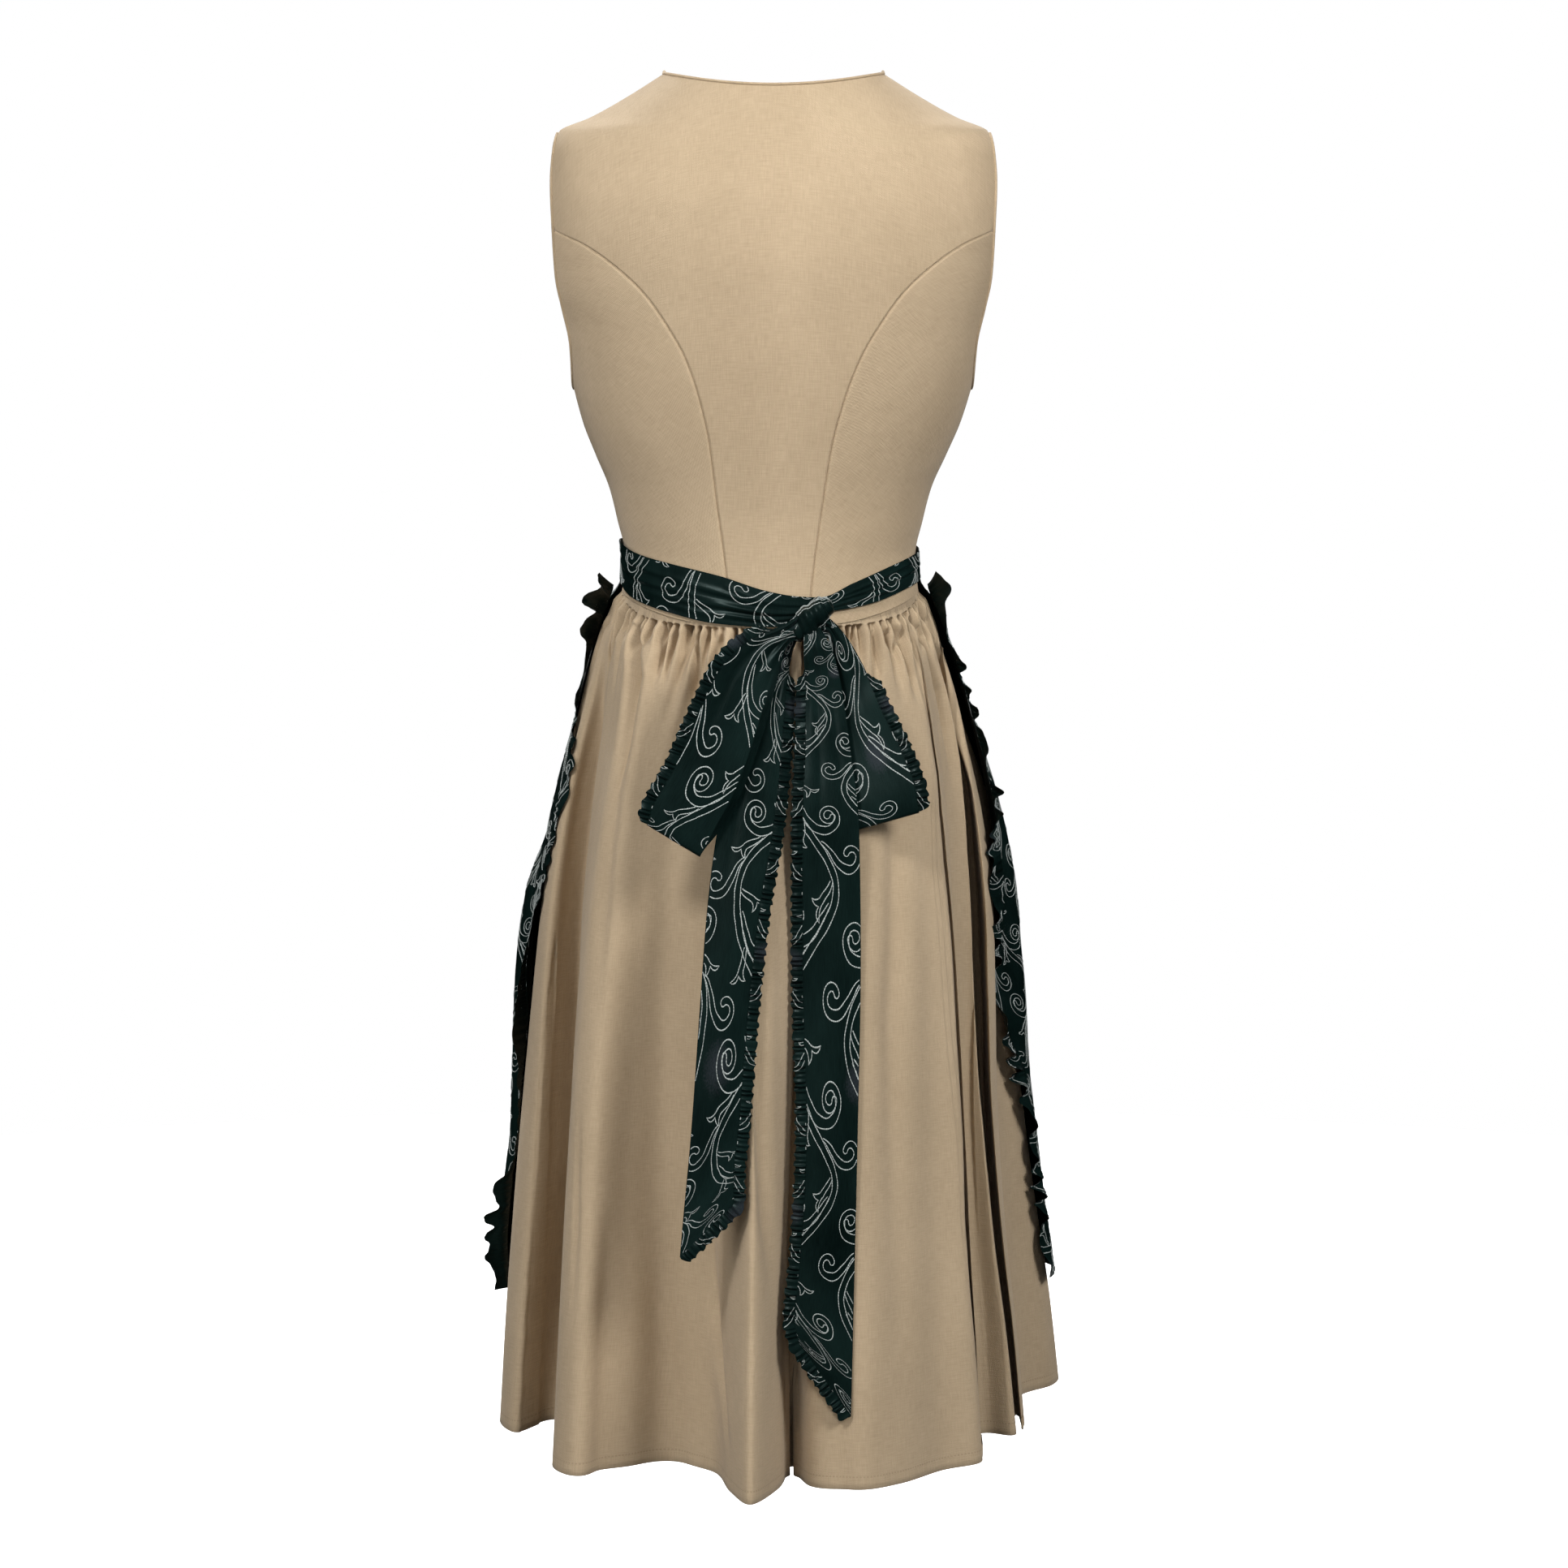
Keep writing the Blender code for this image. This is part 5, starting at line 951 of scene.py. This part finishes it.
def satin_piece(node, net, flat_size, offset, step=1):
    """A satin piece with its scroll; offset is where it was cut from the breadth."""
    rows, columns = net.shape[:2]
    width, length = flat_size
    place = np.stack(np.meshgrid(np.linspace(0, width, columns), np.linspace(0, length, rows)), -1)
    piece = cloth(node, net, place + np.array(offset), satin_cloth)
    threads = stitched(node + "_stitching", net, flat_size, offset, step)


def over_skirt(share, z, lift):
    """Points lifted off the skirt's large folds, or off the bodice above them."""
    plan = skirt_plan(share, z) + skirt_out(share, z) * np.asarray(lift)[..., None]
    return np.concatenate([plan, np.broadcast_to(z, plan.shape[:-1])[..., None]], -1)


APRON_GATHERS, GATHERED_WIDTH = 64, 0.36
APRON_GATHER_LENGTHS, APRON_GATHER_DEPTH = (0.05, 0.31), 0.0034


def apron_relief(u, drop):
    """Fine gathers at the band that run out into a few long soft folds."""
    height = np.zeros(np.broadcast(u, drop).shape)
    for k in range(APRON_GATHERS):
        centre = (k + 0.5 + 0.5 * (uneven(k, 11) - 0.5)) / APRON_GATHERS
        length = between(APRON_GATHER_LENGTHS, uneven(k, 12) ** 2)
        width = GATHERED_WIDTH / APRON_GATHERS * (1 + 1.6 * np.minimum(drop / length, 1.5))
        depth = APRON_GATHER_DEPTH * (0.5 + 0.5 * uneven(k, 13)) * (0.2 + 0.8 * ease(drop / 0.03))
        height += depth * (1 - ease(drop / length)) * np.exp(-((u - centre) / width) ** 2)
    return height


# The left edge laps back over the skirt's side, by a share of the way round, and rolls in against it.
LEFT_REACH = 0.045
LAP = -0.440, 0.110, -0.600, 0.270
BAND_FROM, BAND_ROUND = 0.26, 0.48      # the apron's part of the band, as shares of the way round
RIGHT_FROM, RIGHT_DRIFT = -0.262, 0.078


def spell(z, from_z, inward, until_z, outward):
    """1 from one height down to another, 0 above and below, with soft ways in and out."""
    return ease((from_z - z) / inward) * (1 - ease((until_z - z) / outward))


def apron_net(columns, rows):
    u, drop = np.linspace(0, 1, columns)[None, :], gathered_rows(rows, 1.2)
    turn = 360.0 * apart(BAND_FROM + BAND_ROUND * u, 0.0)
    top = band_bottom(turn) - 0.0005
    z = top + (APRON_HEM_Z - top) * drop
    slow_right = RIGHT_FROM - RIGHT_DRIFT * ease((-0.44 - z) / 0.30)
    share = apron_left(z) + (1 + slow_right - apron_left(z)) * u + (apron_right(z) - slow_right) * u ** 5
    share = share - LEFT_REACH * spell(z, *LAP) * (1 - u) ** 7
    rolled_in = spell(z, *LAP) * (1 - ease(u / 0.07))
    puff = puff_left(z) * (1 - ease(u / 0.30)) * (1 - rolled_in) + puff_right(z) * (1 - ease((1 - u) / 0.30))
    off_skirt = APRON_LIFT * (1 - 0.75 * rolled_in) + puff
    return over_skirt(share, z, between((BAND_LIFT, off_skirt), ease(drop / 0.03)) + apron_relief(u, drop))


def even_rows(net, count):
    """The same cloth with its rows evenly far apart down its middle."""
    run = reach(net, 0)
    run = run[:, run.shape[1] // 2]
    want = np.linspace(0, run[-1], count)
    i = np.clip(np.searchsorted(run, want, side="right") - 1, 0, len(run) - 2)
    t = ((want - run[i]) / (run[i + 1] - run[i]))[:, None, None]
    return net[i] * (1 - t) + net[i + 1] * t


apron_made = even_rows(apron_net(250, 240), 210)
satin_piece("apron", apron_made, (0.64, 0.59), (0.010, 0.020), step=2)

# ---------------------------------------------------------------- ruffles
# A strip of the same satin down each side edge of the apron, gathered along one side and
# sewn on by it.  Its free edge waves, and turns over where the apron hangs free.

RUFFLE_WIDTH, RUFFLE_PITCH, RUFFLE_PLEATS, RUFFLE_FAN = 0.024, 0.0245, 0.0007, 0.012
STRIP_LEAN, TURNED_LEAN = (-0.95, 0.31), (0.74, 0.67)      # where the free edge stands off to: across, and back
TURNED = -0.565, 0.030, -0.715, 0.030                      # and the heights where the right one is turned


def ruffle_net(left, columns=560, rows=17):
    """A satin strip gathered on to one side edge of the apron, whose free edge waves and curls."""
    away = -1.0 if left else 1.0
    edge_of, puff, stand, wave_of = ((apron_left, puff_left, stand_left, wave_left) if left
                                     else (apron_right, puff_right, stand_right, wave_right))
    top = apron_made[0, 0 if left else -1, 2] - 0.004
    length = top - APRON_HEM_Z
    run, out = np.linspace(0, length, columns)[None, :], np.linspace(0, 1, rows)[:, None]
    turn = 2 * math.pi * (run / RUFFLE_PITCH + 0.42 * np.sin(run * 61 + away) + 0.30 * np.sin(run * 23 + 2))
    size = 0.75 + 0.45 * np.sin(run * 37 + 1.5 + away) * np.sin(run * 90)
    z = np.clip(top - run + 0.0010 * size * out ** 1.3 * np.sin(2 * turn), APRON_HEM_Z - 0.001, top)
    wave = size * np.tanh(1.7 * np.cos(turn) + 0.5 * np.cos(2.3 * turn + 1)) * out ** 1.2
    girth = skirt_girth((z + 0.40) / (HEM_Z + 0.40))
    pleats = RUFFLE_PLEATS * np.sin(turn * 5.3 + 2 * np.sin(turn)) * (1 - out) * ease(out / 0.10)
    fan = RUFFLE_FAN * (1 - ease((top - z) / 0.060))
    flat_in = spell(z, *LAP) if left else 0.0 * z
    strip = RUFFLE_WIDTH * (out - 0.10 * out ** 3 * (1 + np.sin(turn)))
    share = edge_of(z) - LEFT_REACH * flat_in + away * (0.0004 + strip) / girth
    turned = 0.0 * z if left else spell(z, *TURNED)
    lean_side = between((away * STRIP_LEAN[0], TURNED_LEAN[0]), turned)
    lean_back = between((STRIP_LEAN[1], TURNED_LEAN[1]), turned)
    ends = (0.6 + 0.4 * ease(run / 0.014)) * (0.6 + 0.4 * ease((length - run) / 0.012))
    stands = np.maximum((stand(z) * out + 0.95 * wave_of(z) * wave) * ends, -0.004)
    lift = APRON_LIFT * (1 - 0.75 * flat_in) + puff(z) * (1 - flat_in) + pleats
    lean = np.stack([lean_side, lean_back, 0.0 * z], -1)
    return over_skirt(share, z + fan * out, lift) + lean * stands[..., None]


satin_piece("apron_ruffle_left", ruffle_net(True), (0.64, 0.022), (0.013, 0.071))
satin_piece("apron_ruffle_right", ruffle_net(False), (0.64, 0.022), (0.013, 0.022))

# ---------------------------------------------------------------- waistband and ties
# The band and its two ties are doubled satin strips, drawn tight round the waist to the bow,
# so that long soft wrinkles run along them.

TIE_MEETING_TURN, BAND_END = -19.0, 94.0
BAND_CROWN, WRINKLE_WIDTH, HOLLOW_WIDTH = 0.0007, 0.055, 0.05
# Wrinkles along the ties: the turns where they start and end, how far down the band, and size.
WRINKLES = table("start end high low size", [
    (96, -8, 0.22, 0.38, 0.0011), (88, 6, 0.48, 0.52, 0.0013), (70, -16, 0.70, 0.60, 0.0012),
    (52, -14, 0.34, 0.46, 0.0010), (60, 20, 0.84, 0.78, 0.0008), (30, -18, 0.60, 0.56, 0.0014),
    (24, -18, 0.80, 0.72, 0.0012), (18, -18, 0.20, 0.34, 0.0012), (-20, -92, 0.50, 0.46, 0.0012),
    (-24, -74, 0.30, 0.24, 0.0010), (-22, -60, 0.72, 0.76, 0.0011)])


def band_net(first, last, columns, rows=26):
    turn = np.linspace(first, last, columns)[None, :]
    signed = (turn + 180.0) % 360.0 - 180.0
    part = np.linspace(0, 1, rows)[:, None]
    top, bottom = band_top(signed), band_bottom(signed)
    lift = BAND_LIFT + BAND_CROWN * np.sin(math.pi * part) ** 0.6
    for start, end, high, low, size in zip(*WRINKLES.values()):
        way = (signed - start) / (end - start)
        held = np.where((way > 0) & (way < 1), np.sin(math.pi * np.clip(way, 0, 1)) ** 0.7, 0)
        middle = high + (low - high) * way + 0.03 * np.sin(5 * way + start)
        lift = lift + size * held * (np.exp(-((part - middle) / WRINKLE_WIDTH) ** 2)
                                     - 0.8 * np.exp(-((part - middle - 0.10) / HOLLOW_WIDTH) ** 2))
    return torso(turn, top + (bottom - top) * part, lift)


for node, first, last, columns, flat_size, offset in (
        ("apron_waistband", BAND_END + 0.15, 360 - BAND_END - 0.15, 200, (0.335, 0.030), (0.020, 0.050)),
        ("tie_left", TIE_MEETING_TURN + 0.25, BAND_END - 0.15, 220, (0.20, 0.031), (0.031, 0.012)),
        ("tie_right", -BAND_END + 0.15, TIE_MEETING_TURN - 0.25, 160, (0.13, 0.027), (0.050, 0.080))):
    satin_piece(node, band_net(first, last, columns), flat_size, offset)

# ---------------------------------------------------------------- bow
# The ties meet off centre in a bow: two hanging loops and two tails of doubled satin, each
# with a narrow ruched frill sewn down one edge and, on the tails, along the slanted end.

BOW_COLUMNS = "way left_x left_z right_x right_z depth"
TAIL_LEFT = thousandths(BOW_COLUMNS, [
    (-500, -21.5, -415, -27.5, -415, 106), (0, -10, -433, -17.5, -435.5, 108),
    (1000, 2, -456, -12.8, -462, 118.3), (2000, 18, -496, -9, -508, 135.8),
    (3000, 37, -554, -3, -564, 159.4), (4000, 46.5, -621, 7, -621, 179.7),
    (5000, 52, -695, 15.5, -695, 196.3), (6000, 58.5, -787, 22.5, -780, 209.3),
    (7000, 64, -846, 26.2, -816, 214), (8000, 66.8, -878, 26.2, -838, 217.5)])
TAIL_RIGHT = thousandths(BOW_COLUMNS, [
    (-500, -26, -415, -37, -415, 115), (0, -25.5, -434, -46, -430, 124.9),
    (1000, -27, -462, -53, -456, 126.2), (2000, -26.5, -508, -61, -508, 139.8),
    (3000, -24.5, -564, -67.2, -566, 156), (4000, -24.5, -665, -68.5, -665, 163.8),
    (5000, -27.5, -787, -66.3, -787, 178.5), (6000, -23.5, -875, -64.3, -875, 187.8),
    (7000, -18.5, -930, -62.2, -965, 195.3), (8000, -21.5, -948, -61.2, -1005, 198.5)])
LOOP_LEFT = thousandths(BOW_COLUMNS, [
    (-500, -24, -405, -26.5, -423, 106), (0, -13, -413, -14, -429, 112.5),
    (1000, 12, -423, -6, -445, 116.8), (2000, 34, -441, 3, -470, 127.4), (3000, 52.5, -476, 12, -498, 139),
    (4000, 70.5, -516, 25, -533, 153.5), (5000, 87, -545, 42, -564, 165.5),
    (6000, 91.5, -559, 52, -583, 172.5)])
LOOP_RIGHT = thousandths(BOW_COLUMNS, [
    (-500, -36.5, -424, -36.5, -408, 104), (0, -44.5, -426, -44.5, -410, 106),
    (1000, -46, -442, -56, -421, 106), (2000, -48, -466, -71, -446, 106.2),
    (3000, -53, -496, -82, -473, 114), (4000, -58, -525, -98.5, -506, 123.6),
    (5000, -63, -552, -110, -536, 134), (6000, -67, -567, -112.5, -554, 139)])
LOOP_OPEN, LOOP_PINCH, LOOP_CROWN, TAIL_CROWN, TAIL_SWAY = 0.0120, 0.30, 0.0006, 0.0015, 0.0009
FRILL_WIDTH, FRILL_STEP, FRILL_FULLNESS = 0.0085, 0.0004, 1.4
FRILL_WAVE, FRILL_CROWN, FRILL_SLANT, FRILL_TUCK, FRILL_RAISE = 0.0016, 0.0007, 0.0006, 0.0002, 0.0004
# Creases that run down from the knot: how far across the piece at the knot and at their end,
# how long, and how high.
TAIL_CREASES = table("start end length size", [
    (0.16, 0.10, 0.42, 0.0010), (0.34, 0.30, 0.60, -0.0012), (0.50, 0.55, 0.36, 0.0012),
    (0.68, 0.74, 0.52, -0.0011), (0.84, 0.90, 0.30, 0.0010)])
LOOP_CREASES = table("start end length size", [
    (0.14, 0.06, 0.52, 0.0012), (0.30, 0.24, 0.80, -0.0016), (0.46, 0.44, 0.46, 0.0014),
    (0.60, 0.66, 0.70, -0.0015), (0.76, 0.84, 0.50, 0.0014), (0.90, 0.97, 0.34, -0.0009)])


def stations(rows, columns, count):
    """A bow piece's net of places across and down it, and its left and right edges and depth."""
    at = np.linspace(rows["way"][0], rows["way"][-1], count)[:, None]
    u, way = np.linspace(0, 1, columns)[None, :], np.linspace(0, 1, count)[:, None]
    left_x, left_z, right_x, right_z, depth = (curve(at) for curve in curves(rows))
    return u, way, between((left_x, right_x), u), between((left_z, right_z), u), depth


def bunched(u, way, creases):
    """The creases that run down from the knot, deepest beside it."""
    height = np.zeros(np.broadcast(u, way).shape)
    for start, end, length, size in zip(*creases.values()):
        t = np.clip(way / length, 0, 1)
        middle, width = start + (end - start) * t, 0.055 + 0.05 * t
        height += size * (1 - ease((t - 0.1) / 0.9)) * np.exp(-((u - middle) / width) ** 2)
    return height


def strip_net(rows, columns, count):
    u, way, x, z, depth = stations(rows, columns, count)
    crown = TAIL_CROWN + TAIL_SWAY * np.sin(2 * math.pi * (1.7 * way + 0.25 * u)) * ease(way / 0.3)
    return np.stack([x, depth + crown * np.sin(math.pi * u) + bunched(u, way, TAIL_CREASES), z], -1)


def loop_net(rows, columns, count, slip):
    """A loop's outer layer runs down, folds, and runs back up behind itself."""
    u, way, x, z, depth = stations(rows, columns, count)
    fullness = between((LOOP_PINCH, 1), np.sin(0.5 * math.pi * np.minimum(1.0, 0.25 + way)))
    gap = LOOP_OPEN * fullness * np.sqrt(1 - way ** 4)
    middle = depth + 0.5 * LOOP_OPEN
    puckers = bunched(u, way, LOOP_CREASES)
    outer = np.stack([x, middle + 0.5 * gap + puckers + LOOP_CROWN * np.sin(math.pi * u), z], -1)
    slipped = x + slip * ease(way * 2) * (1 - ease((way - 0.8) / 0.2))
    inner = np.stack([slipped, middle - 0.5 * gap + 0.6 * puckers, z], -1)
    return np.concatenate([outer, inner[::-1][1:]])


def frill_net(edge, inner, pleat, seed, rows=9):
    """A narrow ruched strip along an edge: fine pleats that open into a waving free edge."""
    run = reach(edge, 0)
    want = np.linspace(0, run[-1], int(run[-1] / FRILL_STEP))
    at, near = at_run(edge, run, want), at_run(inner, run, want)
    ahead = unit(np.gradient(at, axis=0))
    away = at - near
    away = unit(away - ahead * (away * ahead).sum(1, keepdims=True))
    for _ in range(12):
        away[1:-1] = (away[:-2] + away[1:-1] + away[2:]) / 3
    turn = 2 * math.pi * want / pleat
    phase = turn + 1.1 * np.sin(turn / 5.3 + seed) + 0.6 * np.sin(turn / 2.7 + 2 * seed)
    depth = 0.55 + 0.45 * np.sin(turn / 3.9 + 3 * seed)
    out = np.linspace(0, 1, rows)[:, None]
    lift = FRILL_WAVE * depth * np.sin(phase) * (0.35 + 0.65 * np.sin(math.pi * (out * 0.8 + 0.1)))
    lift = lift + FRILL_CROWN * np.sin(math.pi * out)
    taper = ease(want / 0.014) * ease((run[-1] - want) / 0.006 + 0.35)
    reach_out = FRILL_WIDTH * taper * out * (1 + 0.10 * np.sin(phase * 0.5 + seed) * out) - FRILL_TUCK
    net = at + away * reach_out[..., None] + ahead * (FRILL_SLANT * np.sin(phase * 0.7 + 2) * out)[..., None]
    net[..., 1] += lift + FRILL_RAISE
    return net


tail_left_net, tail_right_net = strip_net(TAIL_LEFT, 60, 180), strip_net(TAIL_RIGHT, 60, 220)
loop_left_net, loop_right_net = loop_net(LOOP_LEFT, 70, 100, -0.006), loop_net(LOOP_RIGHT, 70, 100, 0.004)
for node, net, flat_size, held, offset in (
        ("tail_left", tail_left_net, (0.043, 0.45), "hung", (0.012, 0.004)),
        ("tail_right", tail_right_net, (0.045, 0.58), "hung", (0.046, 0.030)),
        ("bow_loop_left", loop_left_net, (0.050, 0.36), "folded", (0.016, 0.055)),
        ("bow_loop_right", loop_right_net, (0.047, 0.29), "folded", (0.060, 0.020))):
    satin_piece(node, net, flat_size, offset)

# Each frill follows one side edge, and on the tails the end too.  The cloth beside the edge
# shows the way out.
left_edge = np.concatenate([tail_left_net[20:, -1], tail_left_net[-1, -2::-1]])
left_beside = np.concatenate([tail_left_net[20:, -8], tail_left_net[-12, -2::-1]])
right_edge = np.concatenate([tail_right_net[24:, 0], tail_right_net[-1, 1:]])
right_beside = np.concatenate([tail_right_net[24:, 7], tail_right_net[-12, 1:]])
for node, edge, row_beside, pleat, seed in (
        ("tail_left_frill", left_edge, left_beside, 0.0038, 0.4),
        ("tail_right_frill", right_edge, right_beside, 0.0040, 1.9),
        ("loop_left_frill", loop_left_net[13:99, 0], loop_left_net[13:99, 8], 0.0036, 3.1),
        ("loop_right_frill", loop_right_net[40:99, -1], loop_right_net[40:99, -9], 0.0038, 4.4)):
    net = frill_net(edge, row_beside, pleat, seed)
    flat_length = round(net.shape[1] * FRILL_STEP * FRILL_FULLNESS, 3)
    satin_piece(node, np.swapaxes(net, 0, 1), (0.0105, flat_length), (0.020, 0.010))

# ---------------------------------------------------------------- knot
# One turn of the doubled satin tie, wrapped slantwise over the bunched ties and drawn in
# where the loops leave it.  The wrap rolls into folds, and its own pull holds it.

KNOT_CENTRE, KNOT_HALF = np.array((-0.0310, 0.1105, -0.4110)), (0.0115, 0.0135, 0.0215)
KNOT_SLANT = math.radians(-46)


def knot_net(columns=150, rows=90):
    angle = np.linspace(0, 2 * math.pi, columns)[None, :]
    way = np.linspace(-0.5 * math.pi, 0.5 * math.pi, rows)[:, None]
    folds = (0.055 * np.sin(9 * way + 2 * np.cos(angle)) + 0.035 * np.sin(17 * way + 3 * np.cos(angle) + 1)
             + 0.025 * np.sin(5 * way + 2 * angle))
    size = 0.95 + folds * np.cos(way)
    bulge = np.cos(way) ** 0.75 * size
    x, z = bulge * np.cos(angle) * KNOT_HALF[0], -np.sin(way) * size * KNOT_HALF[2]
    y = bulge * np.sin(angle) * KNOT_HALF[1]
    cos, sin = math.cos(KNOT_SLANT), math.sin(KNOT_SLANT)
    return KNOT_CENTRE + np.stack([x * cos + z * sin, y, z * cos - x * sin], -1)


satin_piece("knot", knot_net(), (0.080, 0.045), (0.030, 0.066))

# ---------------------------------------------------------------- studio
# A wide white floor well under the hem and white walls.  The light comes from large soft
# lamps only: a key from the upper left that shows the folds, and weak ones all round.


def placed(name, data, place):
    made = bpy.data.objects.new(name, data)
    made.location = place
    bpy.context.collection.objects.link(made)
    return made


FLOOR_RADIUS, FLOOR_Z, FLOOR_CORNERS, FLOOR_WHITE = 3.2, -1.42, 96, (0.88, 0.88, 0.88)
WHITE = (1.0, 1.0, 1.0)
around = np.linspace(0, 2 * math.pi, FLOOR_CORNERS + 1)[:-1]
floor_mesh = bpy.data.meshes.new("studio_floor")
rim = [(FLOOR_RADIUS * math.cos(turn), FLOOR_RADIUS * math.sin(turn), FLOOR_Z) for turn in around]
floor_mesh.from_pydata(rim, [], [range(FLOOR_CORNERS)])
floor_mesh.materials.append(Finish("pale_floor", Base_Color=FLOOR_WHITE, Roughness=0.9, Emission_Color=WHITE,
                                   Emission_Strength=0.8).material)
floor = placed("studio_floor", floor_mesh, (0.0, 0.0, 0.0))
floor.visible_diffuse = floor.visible_glossy = False

world = bpy.data.worlds.new("white_walls")
bpy.context.scene.world = world
world.use_nodes = True
world.node_tree.nodes["Background"].inputs["Color"].default_value = (*WHITE, 1.0)
world.cycles_visibility.diffuse = world.cycles_visibility.glossy = False

MIDDLE, CHEST = (0.0, 0.0, -0.45), (0.0, 0.0, -0.2)
for name, place, target, size, power, shines in (
        ("key", (1.2, 2.4, 2.0), MIDDLE, 0.7, 66.0, True),
        ("right_key", (-1.8, 1.9, 1.1), MIDDLE, 1.0, 62.0, False),
        ("camera_fill", (0.0, 3.8, -0.4), MIDDLE, 3.0, 25.0, False),
        ("left_fill", (2.4, 2.0, -0.2), MIDDLE, 2.4, 28.0, False),
        ("high_left_fill", (2.4, 1.5, 0.7), CHEST, 1.6, 10.0, False),
        ("high_right_fill", (-2.4, 1.5, 0.7), CHEST, 1.6, 10.0, False),
        ("top_fill", (0.0, 0.2, 2.4), MIDDLE, 1.6, 12.0, False),
        ("front_key", (0.8, -2.6, 2.2), MIDDLE, 1.0, 130.0, True),
        ("front_fill", (-1.6, -2.8, 0.2), MIDDLE, 3.0, 40.0, False)):
    light = bpy.data.lights.new(name, "AREA")
    light.shape, light.size, light.energy = "DISK", size, power
    lamp = placed(name, light, place)
    lamp.visible_camera, lamp.visible_glossy = False, shines
    lamp.rotation_euler = (Vector(target) - Vector(place)).to_track_quat("-Z", "Y").to_euler()
bpy.context.scene.view_settings.view_transform = "Standard"

CAMERA_PLACE, CAMERA_TILT, CAMERA_TURN = (-0.0108, 3.6, -0.12), math.radians(90 - 6.803), math.radians(180)
camera_data = bpy.data.cameras.new("camera")
camera_data.sensor_width, camera_data.lens = 36.0, 106.3
camera = placed("camera", camera_data, CAMERA_PLACE)
camera.rotation_euler = (CAMERA_TILT, 0.0, CAMERA_TURN)
bpy.context.scene.camera = camera
